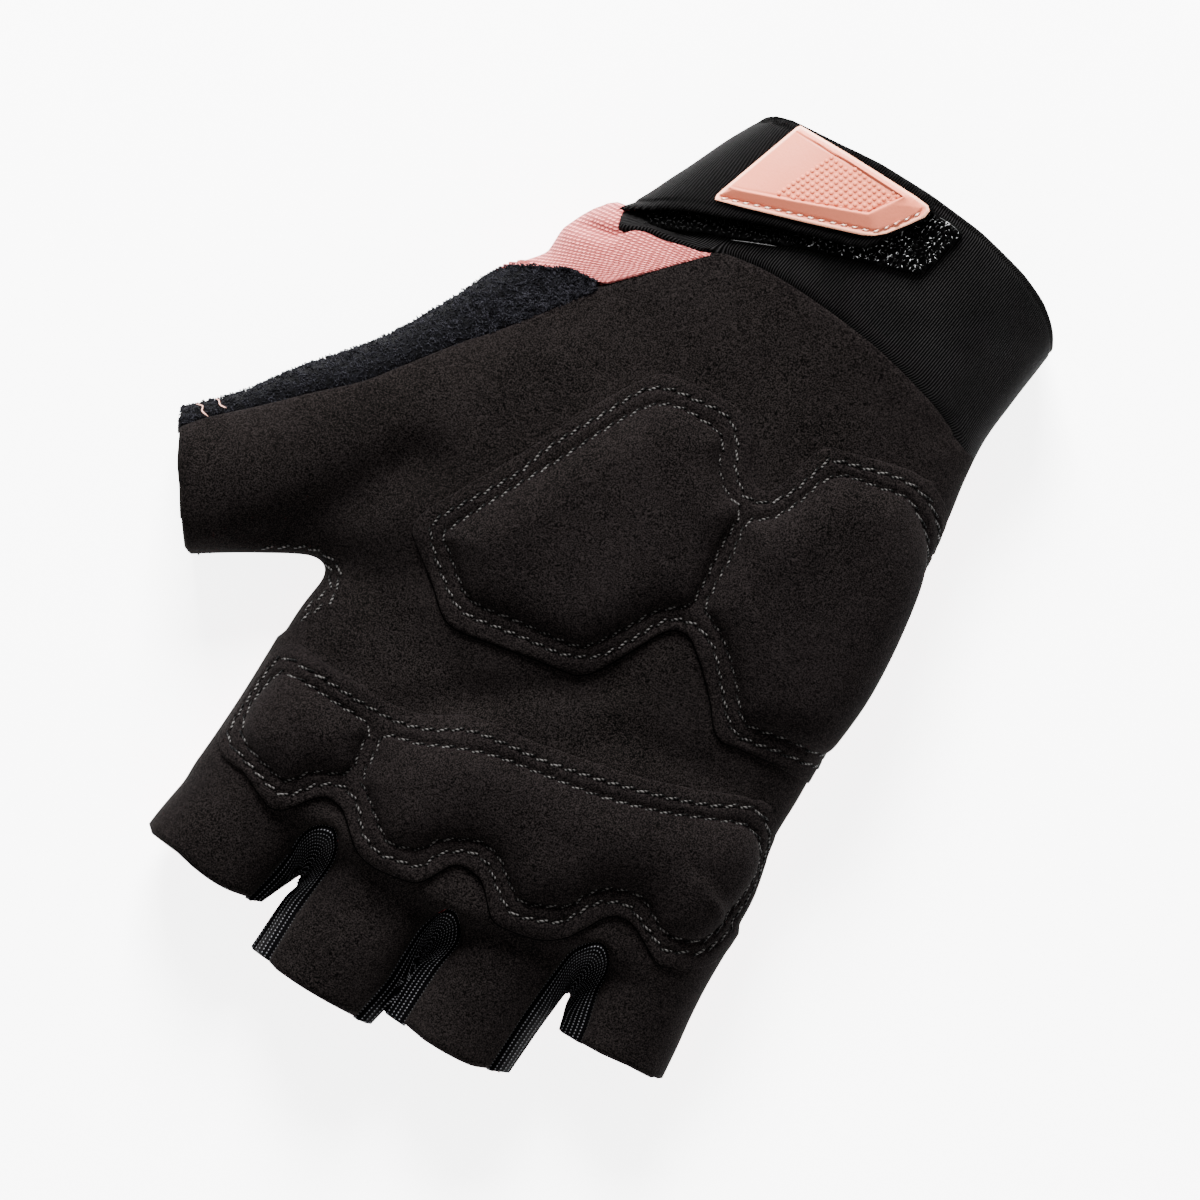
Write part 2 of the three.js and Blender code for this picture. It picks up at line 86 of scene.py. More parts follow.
THUMB_ACROSS = np.array([np.cos(THUMB_TURN), np.sin(THUMB_TURN)])
THUMB_START = -8
FINGER_START = 36
CROTCH = [(-62, 46), (-42, 50.4), (-19, 58.7), (5, 58.3), (30, 57)]  # where the hand ends between fingers
CROTCH_TOP = 20
CROTCH_LEAN = 7
CROTCH_SLOPE = 0.94
SIDE_SHARE = 0.42  # height of the widest line, as a share of a tube's height
FOOT = 1.1
HAND_BOX, THUMB_BOX, FINGER_BOX = 2.5, 2.3, 2.2  # power of each superellipse
HAND_MELT, THUMB_MELT, TABLE_MELT = 2.5, 5, 2  # widths of the rounded joins
MIDDLE_Z = 8.5  # rays start at this height, inside every tube
CLOTH = 1.5  # thickness of the sewn panels
LIP_OUT, LIP_IN = 0.4, 0.2  # shares of it by which the two layers draw together at a rim
MM = 0.001
REACH_STEP, REACH_MOST, HALVINGS = 0.6, 36, 9
CURVE_STEPS = 24  # between two neighbours on a curve, before its steps are evened
EVENINGS = 4  # rounds in which a panel's cells are evened
BEND = 7.0  # the cloth turns over an edge on this radius where it is laid flat
SIDE_STEP = 0.15  # step along a line where cloth turns over a side
ON_SIDE = 0.16  # a corner this near to such a line turns there
SILHOUETTE = 0.78  # sine of the tilt from which a ray counts as near the level

# Soft valleys in the palm: ends, half width, depth.
VALLEYS = [
    ((38, 25), (25, 0), 5, 3.0), ((4, 33), (-20, 13), 3.6, 1.2), ((-26, 19), (-40, 17), 3.6, 0.9),
    ((26, 21), (-4, 27), 5, 1.3), ((-9, 64), (2, 70), 3.5, 0.7), ((-46, -78), (-43, -50), 3, 0.8),
]
VALLEY_FADE = 6  # they fade out over this height above the middle


def bell(away, width):
    """Falls from 1 on both sides of nothing: e to the power of minus the square of away over width."""
    return np.exp(-((away / width) ** 2))


def rise(value, start, end):
    """Goes evenly from 0 to 1 while a value goes from start to end."""
    return np.clip((value - start) / (end - start), 0, 1)


def read(table, at):
    """A value from a table of two columns, on straight lines between its rows."""
    return np.interp(at, *np.transpose(table))


def unit(ways):
    """Directions brought to length one."""
    return ways / np.maximum(np.linalg.norm(ways, axis=-1, keepdims=True), 1e-9)


def along(line):
    """How far along a line each of its points lies."""
    return np.concatenate([[0], np.cumsum(np.linalg.norm(np.diff(line, axis=0), axis=1))])


def resampled(line, at, want):
    """The points of a line that lie at some places, read at other places."""
    return np.stack([np.interp(want, at, column) for column in line.T], 1)


def cubic(t, start, leaving, end, arriving):
    """A cubic from start to end while t goes from 0 to 1, with a slope at each end."""
    begin = (2 * t**3 - 3 * t**2 + 1) * start + (t**3 - 2 * t**2 + t) * leaving
    return begin + (3 * t**2 - 2 * t**3) * end + (t**3 - t**2) * arriving


def smooth(table, station):
    """Row of a table at a station: a cubic between two rows that keeps the slope of the rows around them."""
    rows = np.array(table, float)
    at, values = rows[:, 0], rows[:, 1:]
    slope = np.gradient(values, at, axis=0)
    station = np.clip(station, at[0], at[-1])
    i = np.clip(np.searchsorted(at, station, side="right") - 1, 0, len(at) - 2)
    span = (at[i + 1] - at[i])[..., None]
    t = (station - at[i])[..., None] / span
    return np.moveaxis(cubic(t, values[i], span * slope[i], values[i + 1], span * slope[i + 1]), -1, 0)


def tube(table, across, station, height, boxiness):
    """Distance to a tube: the superellipse radius less 1, over the length of its gradient."""
    left, right, top = smooth(table, station)
    half, side = (right - left) / 2, SIDE_SHARE * top
    reach_z = np.where(height > side, top - side, side * FOOT)
    a = np.abs(across - (left + right) / 2) / half
    b = np.abs(height - side) / reach_z
    radius = np.maximum((a**boxiness + b**boxiness) ** (1 / boxiness), 0.05)
    gradient = np.hypot(a ** (boxiness - 1) / half, b ** (boxiness - 1) / reach_z) * radius ** (1 - boxiness)
    return (radius - 1) / np.maximum(gradient, 0.01)


def melt(a, b, width):
    """The nearer of two distances, rounded over the given width where they are alike."""
    h = np.clip(0.5 + 0.5 * (b - a) / width, 0, 1)
    return b + (a - b) * h - width * h * (1 - h)


def to_line(x, y, start, end):
    """Distance in plan from points to a straight line between two ends."""
    start, run = np.array(start, float), np.subtract(end, start).astype(float)
    t = np.clip(((x - start[0]) * run[0] + (y - start[1]) * run[1]) / (run @ run), 0, 1)
    return np.hypot(x - start[0] - t * run[0], y - start[1] - t * run[1])


def glove(points):
    """Distance from points to the outside of the gloved hand, negative inside."""
    x, y, z = points[..., 0], points[..., 1], points[..., 2]
    sunk = sum(depth * bell(to_line(x, y, a, b), half) for a, b, half, depth in VALLEYS)
    z = z + sunk * rise(z, MIDDLE_Z, MIDDLE_Z + VALLEY_FADE)
    crotch = read(CROTCH, x) + CROTCH_LEAN * (1 - z / CROTCH_TOP)
    hand = -melt(-tube(HAND, x, y, z, HAND_BOX), -(y - crotch) * CROTCH_SLOPE, HAND_MELT)
    station = y * THUMB_AXIS[1] + x * THUMB_AXIS[0]
    thumb = tube(THUMB, x * THUMB_ACROSS[0] + y * THUMB_ACROSS[1], station, z, THUMB_BOX)
    whole = melt(hand, np.maximum(thumb, THUMB_START - station), THUMB_MELT)
    for table in (LITTLE, RING, MIDDLE, INDEX):
        finger = np.maximum(tube(table, x, y, z, FINGER_BOX), FINGER_START - y)
        whole = np.minimum(whole, melt(whole, finger, HAND_MELT))
    return -melt(-whole, points[..., 2], TABLE_MELT)  # flat on the table


def reach(start, way, level=0.0):
    """Where rays from inside the hand first come out through a level over its skin: short steps, then halving."""
    near, level = np.zeros(len(start)), np.broadcast_to(level, len(start))
    going = np.arange(len(start))
    for _ in range(int(REACH_MOST / REACH_STEP)):
        ahead = near[going] + REACH_STEP
        within = glove(start[going] + way[going] * ahead[:, None]) < level[going]
        going = going[within]
        near[going] = ahead[within]
    far = near + REACH_STEP
    for _ in range(HALVINGS):
        half = (near + far) / 2
        outside = glove(start + way * half[:, None]) > level
        near, far = np.where(outside, near, half), np.where(outside, half, far)
    return start + way * ((near + far) / 2)[:, None]


def curve(points, step=0.6, closed=False):
    """Smooth line through points: a cubic between neighbours, with equal steps along it."""
    p = np.array(points, float)
    p = np.vstack([p[-1:], p, p[:2]] if closed else [2 * p[0] - p[1], p, 2 * p[-1] - p[-2]])
    t = np.linspace(0, 1, CURVE_STEPS, endpoint=False)[:, None]
    bits = []
    for a, b, c, d in zip(p[:-3], p[1:-2], p[2:-1], p[3:]):
        before, chord, after = (np.linalg.norm(bit) for bit in (b - a, c - b, d - c))
        leaving = (c - a) / max(chord + before, 1e-9) * chord
        bits.append(cubic(t, b, leaving, c, (d - b) / max(after + chord, 1e-9) * chord))
    line = np.vstack([*bits, p[-2:-1]])
    run = along(line)
    even = resampled(line, run, np.linspace(0, run[-1], max(int(round(run[-1] / step)), 2) + 1))
    return even[:-1] if closed else even


def nearest(outline, plan):
    """Nearest place on a closed outline for each point, and its distance."""
    run = np.roll(outline, -1, axis=0) - outline
    best, where = np.full(len(plan), np.inf), np.array(plan, float)
    for start, way, length in zip(outline, run, np.maximum((run**2).sum(1), 1e-12)):
        spot = start + np.clip(((plan - start) @ way) / length, 0, 1)[:, None] * way
        gap = np.hypot(*(plan - spot).T)
        closer = gap < best
        best[closer], where[closer] = gap[closer], spot[closer]
    return where, best


def inside(outline, plan):
    """Which points of the plan lie within a closed outline, by counting crossings."""
    x, y = plan[:, 0], plan[:, 1]
    odd = np.zeros(len(plan), bool)
    for (ax, ay), (bx, by) in zip(outline, np.roll(outline, -1, axis=0)):
        if ay != by:
            odd ^= ((ay > y) != (by > y)) & (x < (bx - ax) * (y - ay) / (by - ay) + ax)
    return odd


def edges_of(quads):
    """The four edges of each cell, in its order."""
    return np.vstack([quads[:, [k, (k + 1) % 4]] for k in range(4)])


def rim_of(quads):
    """Edges that belong to one cell only, in that cell's order."""
    edges, size = edges_of(quads), quads.max() + 1
    return edges[~np.isin(edges[:, 0] * size + edges[:, 1], edges[:, 1] * size + edges[:, 0])]


def cells(number):
    """The cells between numbered corners that stand in rows."""
    return np.stack([number[:-1, :-1], number[1:, :-1], number[1:, 1:], number[:-1, 1:]], -1).reshape(-1, 4)


def grid_of(across, rows, closed=False):
    """Cells of a grid of points, row by row, with the last column joined to the first where it is closed."""
    number = np.arange(across * rows).reshape(across, rows)
    return cells(np.column_stack([number, number[:, 0]]) if closed else number)


def places(first, second):
    """Pairs of each value of one list with each value of another."""
    return np.stack(np.meshgrid(first, second, indexing="ij"), -1).reshape(-1, 2)


def trimmed(outline, step):
    """Square cells whose middles lie in a plan outline, with the outermost corners moved onto it."""
    low, high = outline.min(0) - step, outline.max(0) + step
    nx, ny = np.ceil((high - low) / step).astype(int) + 1
    grid = places(low[0] + step * np.arange(nx), low[1] + step * np.arange(ny))
    keep = inside(outline, (grid.reshape(nx, ny, 2)[:-1, :-1] + step / 2).reshape(-1, 2))
    used, quads = np.unique(grid_of(nx, ny)[keep], return_inverse=True)
    quads = quads.reshape(-1, 4)
    plan = grid[used]
    rim = np.unique(rim_of(quads))
    plan[rim] = nearest(outline, plan[rim])[0]
    free = np.setdiff1d(np.arange(len(plan)), rim)
    pairs, n = edges_of(quads), len(plan)
    count = np.bincount(pairs.ravel(), minlength=n)[:, None]
    for _ in range(EVENINGS):  # each free corner moves to the middle of its neighbours
        total = [sum(np.bincount(pairs[:, k], place[pairs[:, 1 - k]], n) for k in (0, 1)) for place in plan.T]
        plan[free] = (np.stack(total, 1) / count)[free]
    return plan, quads


def fan(starts, outs, angles):
    """Rays from each start in plan, tilted from straight up (0) through outwards (90) to straight down (180)."""
    tilt = np.radians(np.broadcast_to(angles, (len(starts), np.shape(angles)[-1])))[..., None]
    way = np.concatenate([np.asarray(outs)[:, None] * np.sin(tilt), np.cos(tilt)], axis=2)
    start = np.column_stack([starts, np.full(len(starts), MIDDLE_Z)])
    return np.repeat(start, way.shape[1], axis=0), way.reshape(-1, 3)


def right_of(line):
    """Level directions at right angles to a line, on its right as it runs."""
    run = np.gradient(line, axis=0)
    return unit(np.column_stack([run[:, 1], -run[:, 0]]))


def at_silhouette(angles):
    """Rises from 0 to 1 where a ray's tilt from upright nears the level."""
    return rise(np.sin(np.radians(angles)), SILHOUETTE, 1) ** 2


def wrapped(outline, step, sides=(), up=1.0, rows=20, rounded=0.0, bend=BEND):
    """Cells over a plan outline, carried on round the hand where its rim lies on one of the side lines.

    A ray for each corner: straight up from the plan, and past a side line turned outwards by equal steps, up
    to the side's own turn, which is an angle or a table of them by station. They point outwards square to
    the line, or as the side's two last items say for its ends. The band's two ends draw back by rounded where
    it passes the silhouette. Gives the rays' starts and ways, the cells, and each corner's place laid flat.
    """
    plan, quads = trimmed(outline, step)
    start = np.column_stack([plan, np.full(len(plan), MIDDLE_Z)])
    way = np.tile([0.0, 0.0, up], (len(plan), 1))
    flat, rim = plan.copy(), rim_of(quads)
    lone = np.unique(rim)
    for points, turn, *ends in sides:
        line = curve(points, SIDE_STEP)
        shared = line[np.linalg.norm(outline[:, None] - line, axis=2).min(0) < 2 * SIDE_STEP]
        for corner in (shared[0], shared[-1]):
            nearby = lone[np.linalg.norm(plan[lone] - corner, axis=1).argmin()]
            plan[nearby] = flat[nearby] = start[nearby, :2] = corner
        gap = np.linalg.norm(plan[lone][:, None] - line, axis=2)
        mine = gap.min(1) < ON_SIDE
        own, near = lone[mine], gap.argmin(1)[mine]
        if ends:
            part = np.linspace(0, 1, len(line))[:, None]
            out = (np.array(ends[0]) * (1 - part) + np.array(ends[1]) * part)[near]
        else:
            out = right_of(line)[near]
        most = read(turn, plan[own, 1]) if np.ndim(turn) else np.full(len(own), turn)
        angles = most[:, None] * np.arange(1, rows + 1) / rows
        more, ways = fan(plan[own], out, angles if up > 0 else 180 - angles)
        from_end = SIDE_STEP * np.minimum(near, len(line) - 1 - near)
        back = unit(np.gradient(line, axis=0)[near]) * np.where(near * 2 < len(line), 1, -1)[:, None]
        drawn = rounded * np.clip(1 - from_end / max(2 * rounded, 1e-9), 0, 1) ** 2
        more[:, :2] += (back[:, None] * (drawn[:, None] * at_silhouette(angles))[..., None]).reshape(-1, 2)
        ladder = np.full((len(plan), rows + 1), -1)
        ladder[own, 0] = own
        ladder[own, 1:] = len(start) + np.arange(len(own) * rows).reshape(-1, rows)
        away = out[:, None] * (bend * np.radians(angles))[..., None]
        start, way = np.vstack([start, more]), np.vstack([way, ways])
        flat = np.vstack([flat, (plan[own][:, None] + away).reshape(-1, 2)])
        edge = rim[np.isin(rim, own).all(1)]
        a, b = ladder[edge[:, 0]], ladder[edge[:, 1]]
        band = np.stack([b[:, :-1], a[:, :-1], a[:, 1:], b[:, 1:]], -1)
        quads = np.vstack([quads, band.reshape(-1, 4)])
    return start, way, quads if up > 0 else quads[:, ::-1], flat


def normals_of(points, quads):
    """Vertex normals: the sum of the neighbouring faces' crossed diagonals, at length one."""
    face = np.cross(points[quads[:, 2]] - points[quads[:, 0]], points[quads[:, 3]] - points[quads[:, 1]])
    total = [sum(np.bincount(corner, part, len(points)) for corner in quads.T) for part in face.T]
    return unit(np.stack(total, 1))


def piece(name, material, slot, points, faces, flat, nodes=()):
    """A named mesh in metres that rides on the glove, with the flat cloth's places as its UV map."""
    mesh = bpy.data.meshes.new(name)
    mesh.vertices.add(len(points))
    mesh.vertices.foreach_set("co", (points * MM).ravel())
    mesh.loops.add(faces.size)
    mesh.loops.foreach_set("vertex_index", faces.ravel())
    mesh.polygons.add(len(faces))
    mesh.polygons.foreach_set("loop_start", np.arange(len(faces)) * faces.shape[1])
    flat = np.tile(flat, (len(points) // len(flat), 1))  # both layers of a cloth have the same places
    layer = mesh.uv_layers.new(name="laid_flat")
    layer.data.foreach_set("uv", (flat * MM)[faces.ravel()].astype(np.float32).ravel())
    mesh.update(calc_edges=True)
    mesh.validate()
    mesh.shade_smooth()
    mesh.materials.append(material)
    made = bpy.data.objects.new(name, mesh)
    bpy.context.scene.collection.objects.link(made)
    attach(made, "root")
    if nodes:
        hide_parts(*nodes)
    return made


def layers(outer, inner, quads):
    """Two layers with the same cells as one closed form, with a band along their rim."""
    n, rim = len(outer), rim_of(quads)
    band = np.column_stack([rim[:, 1], rim[:, 0], rim[:, 0] + n, rim[:, 1] + n])
    return np.vstack([outer, inner]), np.vstack([quads, quads[:, ::-1] + n, band])


def slab(start, way, quads, top, bottom):
    """A closed layer over the skin between two levels."""
    return layers(reach(start, way, top), reach(start, way, bottom), quads)


def cloth(points, quads, thickness=CLOTH):
    """A surface and its copy, drawn in along the normals, closed along a softened rim."""
    inward, lip = normals_of(points, quads) * thickness, np.unique(rim_of(quads))
    outer, inner = points.copy(), points - inward
    outer[lip] -= inward[lip] * LIP_OUT
    inner[lip] += inward[lip] * LIP_IN
    return layers(outer, inner, quads)


# Seams and edges on the plan, from the photo's measures.
CUFF_SEAM = [
    (-44.6, -50.5), (-40, -52.2), (-33.3, -53.8), (-26.7, -55), (-19.2, -55.7), (-10.8, -56), (-4, -55.7),
    (2.8, -54.4), (4.7, -53.5),
]
PINK_SEAM = [(5.2, -52.8), (7.6, -50.2), (9.3, -48.2), (11, -45.5), (14, -42), (16, -39.5)]
TERRY_SEAM = [
    (16.3, -39.3), (17.9, -36.8), (21.1, -31.9), (25.8, -25), (30, -19.7), (36.3, -10.9), (39.6, -6.3),
    (45.8, 0), (51.7, 6.2), (57.5, 12), (60.3, 15.6),
]
THUMB_MOUTH = [(60.4, 15.9), (59.3, 17.7), (57.3, 21.1), (54.9, 24.2), (53.4, 26.4), (51.95, 28.45)]
THUMB_LINE = [
    (51.7, 28.5), (46, 24), (41, 20.4), (36.5, 17.6), (31, 15.6), (26.2, 16.4), (22.9, 19.6), (21.4, 25),
    (21.8, 30), (22.1, 40), (21.8, 47), (22.2, 56), (23.1, 65), (23.5, 73.4),
]
INDEX_MOUTH = [(20, 74), (16.7, 74.25), (13.3, 74.1), (9.2, 73.3)]
INDEX_SLIT = [
    (8.3, 68.3), (7.9, 64.2), (7.9, 60), (6.9, 57.7), (5.4, 56.7), (4, 56.7), (2.5, 58.8), (1.9, 61.7),
    (2.3, 70.4), (2.1, 80),
]
MIDDLE_MOUTH = [(0, 80.5), (-5, 80.6), (-10, 80.4), (-15.3, 80)]
MIDDLE_SLIT = [
    (-16.5, 72.5), (-16.3, 64.2), (-16.5, 61.7), (-17.5, 57.9), (-18.8, 57.2), (-20, 57.7), (-21.9, 60.8),
    (-21.5, 66.3), (-21.5, 76.6),
]
RING_MOUTH = [(-26, 77.1), (-30, 77), (-35, 76.4), (-37.7, 75.3)]
RING_SLIT = [
    (-37.7, 64.2), (-38.1, 55.8), (-38.5, 52.1), (-40, 49.6), (-41.7, 48.5), (-43.5, 49.6), (-44.6, 52.1),
    (-44.8, 55), (-46.5, 60.8), (-47.1, 63.9),
]
LITTLE_MOUTH = [(-51, 63.6), (-55.2, 62.95)]
LITTLE_LINE = [
    (-55.7, 62.85), (-54.8, 53), (-53.7, 45), (-53, 39), (-52.4, 32), (-50.8, 22), (-49.9, 12), (-49.5, 4),
    (-49.6, -8), (-48.2, -22), (-46.2, -34), (-44.9, -42), (-44.6, -50),
]
SUEDE_STEP, SUEDE_ROWS = 0.8, 24
SUEDE_ROUNDED = 0.9
SIDE_TURN = 116  # degrees by which the suede turns round the glove's sides

palm_edges = [
    CUFF_SEAM, PINK_SEAM, TERRY_SEAM, THUMB_MOUTH, THUMB_LINE, INDEX_MOUTH, INDEX_SLIT, MIDDLE_MOUTH, MIDDLE_SLIT,
    RING_MOUTH, RING_SLIT, LITTLE_MOUTH, LITTLE_LINE,
]
palm_outline = np.vstack([curve(edge) for edge in palm_edges])
palm_sides = [(THUMB_LINE, SIDE_TURN), (LITTLE_LINE, SIDE_TURN)]


def feed(socket, value):
    """Sets a socket to a number or a colour, or links it to a field."""
    if isinstance(value, Field):
        socket.id_data.links.new(value.socket, socket)
    else:
        socket.default_value = (*value, 1) if socket.type == "RGBA" else value


class Field:
    """What a node gives at each place of a surface, to be reckoned with like a number."""

    def __init__(self, socket):
        self.socket = socket

    def node(self, kind, output, settings, inputs):
        """A field from a new node, with its settings by name and its inputs by name or number."""
        node = self.socket.id_data.nodes.new("ShaderNode" + kind)
        for key, value in settings.items():
            setattr(node, key, value)
        for key, value in inputs.items():
            feed(node.inputs[key], value)
        return Field(node.outputs[output])

    def math(self, operation, other=0.0):
        """One sum of this and another field or number."""
        return self.node("Math", 0, {"operation": operation}, {0: self, 1: other})

    def __add__(self, other):
        return self.math("ADD", other)

    def __sub__(self, other):
        return self.math("SUBTRACT", other)

    def __mul__(self, other):
        return self.math("MULTIPLY", other)

    def ramp(self, low, high, start=0.0, end=1.0, kind="LINEAR"):
        """From start to end while this goes from low to high, held between them."""
        inputs = {"Value": self, "From Min": low, "From Max": high, "To Min": start, "To Max": end}
        return self.node("MapRange", 0, {"interpolation_type": kind}, inputs)

    def between(self, low, high):
        """A colour between two, with this as the share of the second."""
        return self.node("Mix", 2, {"data_type": "RGBA"}, {0: self, 6: low, 7: high})

    def part(self, k):
        """One of the three parts of a vector."""
        return self.node("SeparateXYZ", k, {}, {0: self})


class Look:
    """A node material while it is made: its shader, places in the piece, and the flat cloth's own places."""

    def __init__(self, name):
        self.material = bpy.data.materials.new(name)
        self.material.use_nodes = True
        self.nodes = self.material.node_tree.nodes
        self.shader = next(node for node in self.nodes if node.type == "BSDF_PRINCIPLED")
        self.place = Field(self.nodes.new("ShaderNodeTexCoord").outputs["Object"])

    def noise(self, scale, detail, rough=0.5):
        """Cloudy noise between about 0.3 and 0.7."""
        inputs = {"Vector": self.place, "Scale": scale, "Detail": detail, "Roughness": rough}
        return self.place.node("TexNoise", "Fac", {}, inputs)

    def laid_flat(self):
        """The two places on the cloth laid flat."""
        flat = Field(self.nodes.new("ShaderNodeUVMap").outputs[0])
        return flat.part(0), flat.part(1)

    def shade(self, **inputs):
        """Sets the shader's inputs by name, and gives the material."""
        for key, value in inputs.items():
            feed(self.shader.inputs[key.replace("_", " ")], value)
        return self.material

    def bumps(self, height, strength, deep):
        """Bumps of a depth in metres, for the shader's normal."""
        return self.place.node("Bump", 0, {}, {"Strength": strength, "Distance": deep, "Height": height})


def suede(name, dark, light):
    """Suede: a fine nap of two noises over soft patches where the nap lies another way, with a faint bloom."""
    look = Look(name)
    nap, tufts = look.noise(4800, 2, 0.6), look.noise(4800 * 0.38, 2, 0.6)
    lying = look.noise(70, 4, 0.55).ramp(0.32, 0.68, -0.1, 0.1)
    tone = nap.ramp(0.43, 0.63) + lying + (tufts - 0.5) * 0.5
    return look.shade(
        Base_Color=tone.between(dark, light), Normal=look.bumps(nap + tufts * 1.3, 0.6, 0.00016), Roughness=0.95,
        Specular_IOR_Level=0.008, Sheen_Weight=0.005, Sheen_Roughness=0.5, Sheen_Tint=(0.95, 0.85, 0.8),
    )


SUEDE = suede("suede", (0.0002, 0.00016, 0.00016), (0.0100, 0.0082, 0.0079))
start, way, quads, flat = wrapped(palm_outline, SUEDE_STEP, palm_sides, rows=SUEDE_ROWS, rounded=SUEDE_ROUNDED)
piece("palm_suede", SUEDE, "suede", *cloth(reach(start, way), quads), flat, ["palm"])

# The back: pink knitted mesh over the back of the hand and of the fingers, lying on the table. It shows by
# the wrist, where it comes round the thumb's side between the cuff and the terry, and puckers a little.
UNDER_LITTLE = [
    (-44, -47), (-46, -34), (-48.2, -22), (-49.6, -8), (-49.5, 4), (-49.9, 12), (-52.2, 26), (-53, 39),
    (-54.5, 50), (-55.9, 61.6),
]
UNDER_INDEX = [(23.4, 72.7), (22.6, 60), (21.8, 47), (22.1, 36), (21.2, 26), (22.4, 21), (24.6, 18)]
UNDER_WEBS = [
    [(-49.2, 62.7), (-47.8, 54), (-46, 50), (-42, 48.8), (-37.6, 51.6), (-35.4, 59), (-35, 75.1)],
    [(-24, 76), (-24, 63.5), (-22.6, 59), (-18.4, 57.2), (-14.2, 59), (-12.8, 63.5), (-12.8, 79.3)],
    [(-0.6, 79.5), (-1, 64), (0.4, 59), (5, 57), (9.4, 59), (11, 64), (12.6, 72.7)],
]
UNDER_MOUTHS = [
    [(-55.9, 61.6), (-49.2, 62.7)], [(-35, 75.1), (-30, 75.7), (-24, 76)],
    [(-12.8, 79.3), (-6, 79.7), (-0.6, 79.5)], [(12.6, 72.7), (18, 73.5), (23.4, 72.7)],
]
UNDER_THUMB = [(24.6, 18), (23.4, 8), (23, 0), (24.6, -18), (24, -30), (21.6, -36)]
UNDER_PINK = [(21.6, -36), (17.4, -43.6), (13, -52.4)]
UNDER_CUFF = [(13, -52.4), (0, -53.9), (-14, -53.8), (-28, -52.8), (-38, -50.2), (-44, -47)]
MESH_STEP, MESH_ROWS = 1.1, 12
MESH_ROUNDED = 1.5
UNDER_TURNS = [64, 74, 50]  # degrees by which the mesh turns up at the little finger, the index and the webs

under_lines = [
    UNDER_LITTLE, UNDER_MOUTHS[0], UNDER_WEBS[0], UNDER_MOUTHS[1], UNDER_WEBS[1], UNDER_MOUTHS[2], UNDER_WEBS[2],
    UNDER_MOUTHS[3], UNDER_INDEX, UNDER_THUMB, UNDER_PINK, UNDER_CUFF,
]
under_outline = np.vstack([curve(line) for line in under_lines])
under_sides = [(UNDER_LITTLE[::-1], UNDER_TURNS[0]), (UNDER_INDEX[::-1], UNDER_TURNS[1])]
under_sides += [(web[::-1], UNDER_TURNS[2]) for web in UNDER_WEBS]
start, way, quads, under_flat = wrapped(under_outline, MESH_STEP, under_sides, -1.0, MESH_ROWS, MESH_ROUNDED)
under_cloth = cloth(reach(start, way), quads)

# The part that shows: rays from the seam with the palm, fanned from the top round the side to beneath.
PINK_IN = [(4.4, -55), (9.5, -48.6), (17, -39.2)]
PINK_OUT = [(0.985, 0.02), (0.95, 0.24), (0.84, 0.54)]
PINK_SIDE = [
    (20.5, -52.8), (22.2, -51.4), (23.5, -49.6), (24.6, -47.6), (25.7, -45), (26, -42), (26, -39.6),
    (26.7, -38.4), (28.4, -36.3), (29.9, -34.5), (32, -31.8),
]
CREASE = [(18.2, -47.9), (19.4, -47), (21.2, -46.6), (23.5, -46.1), (25.2, -45.5)]
CUFF_BORDER = [
    (2.6, -54), (5.2, -52.8), (8.9, -52.3), (14.1, -51.2), (16.3, -50.3), (17.8, -48.3), (18.9, -49.9),
    (19.6, -51.4), (20.4, -52.8),
]
PINK_STEP = 0.4
PINK_ANGLES = (-6, 186, 120)  # tilts of its first and its last ray, and how many there are
PINK_STARTS_IN = 0.8
PINK_LIES = 0.3  # height of the sheet over the hand where it doesn't stand out
PINK_TUCK = 1.2  # how deep it goes in under the cuff and the terry
CREASE_DEEP, CREASE_HALF = 1.4, 1.1
TERRY_RAYS_IN = 11  # the terry's rays start this far inside the thumb's outer edge, or
TERRY_RAYS_MOST = 34  # this far across the thumb
TERRY_LAST = [
    (-11.7, 27.5), (-9.9, 32), (-7.9, 38), (-6.1, 42), (-3.9, 45), (0.9, 58), (4.1, 74), (8, 112), (14, 186),
    (20, 216), (34, 256), (58, 258),
]


def ray_start(station):
    """How far across the thumb the terry's rays start."""
    return np.minimum(smooth(THUMB, station)[1] - TERRY_RAYS_IN, TERRY_RAYS_MOST)


pink_in, pink_out = curve(PINK_IN, PINK_STEP), curve(PINK_OUT, 0.05)
pink_out = unit(resampled(pink_out, np.linspace(0, 1, len(pink_out)), np.linspace(0, 1, len(pink_in))))
pink_angles = np.linspace(*PINK_ANGLES)
start, way = fan(pink_in - pink_out * PINK_STARTS_IN, pink_out, pink_angles)
side_x, side_y = np.transpose(PINK_SIDE)
side_level = glove(np.column_stack([side_x, side_y, np.full(len(side_x), 10.0)]))
sideways = np.clip(np.sin(np.radians(np.tile(pink_angles, len(pink_in)))), 0, 1) ** 3
full = np.full(len(start), PINK_LIES)
for _ in range(3):  # where the sheet lies and how far it stands out depend on each other
    px, py, pz = reach(start, way, full).T
    full = PINK_LIES + sideways * rise(pz, 0, 6) * (np.interp(py, side_y, side_level) - PINK_LIES)
off_crease = np.min([to_line(px, py, a, b) for a, b in zip(CREASE[:-1], CREASE[1:])], axis=0)
crease = CREASE_DEEP * bell(off_crease, CREASE_HALF) * rise(px, 26, 23) * np.clip((px - 17) / 2, 0.3, 1)
tucked = np.clip(0.5 - (py - read(CUFF_BORDER, px)) / 0.7, 0, 1)
station, across = np.column_stack([px, py]) @ THUMB_AXIS, np.column_stack([px, py]) @ THUMB_ACROSS
tilt = np.degrees(np.arctan2(across - ray_start(station), pz - MIDDLE_Z))
beneath = rise(read(TERRY_LAST, station) - tilt, 0, 5) * rise(station, -12, -11.4)
pink_points = reach(start, way, full - crease - (full + PINK_TUCK) * tucked - PINK_TUCK * beneath)
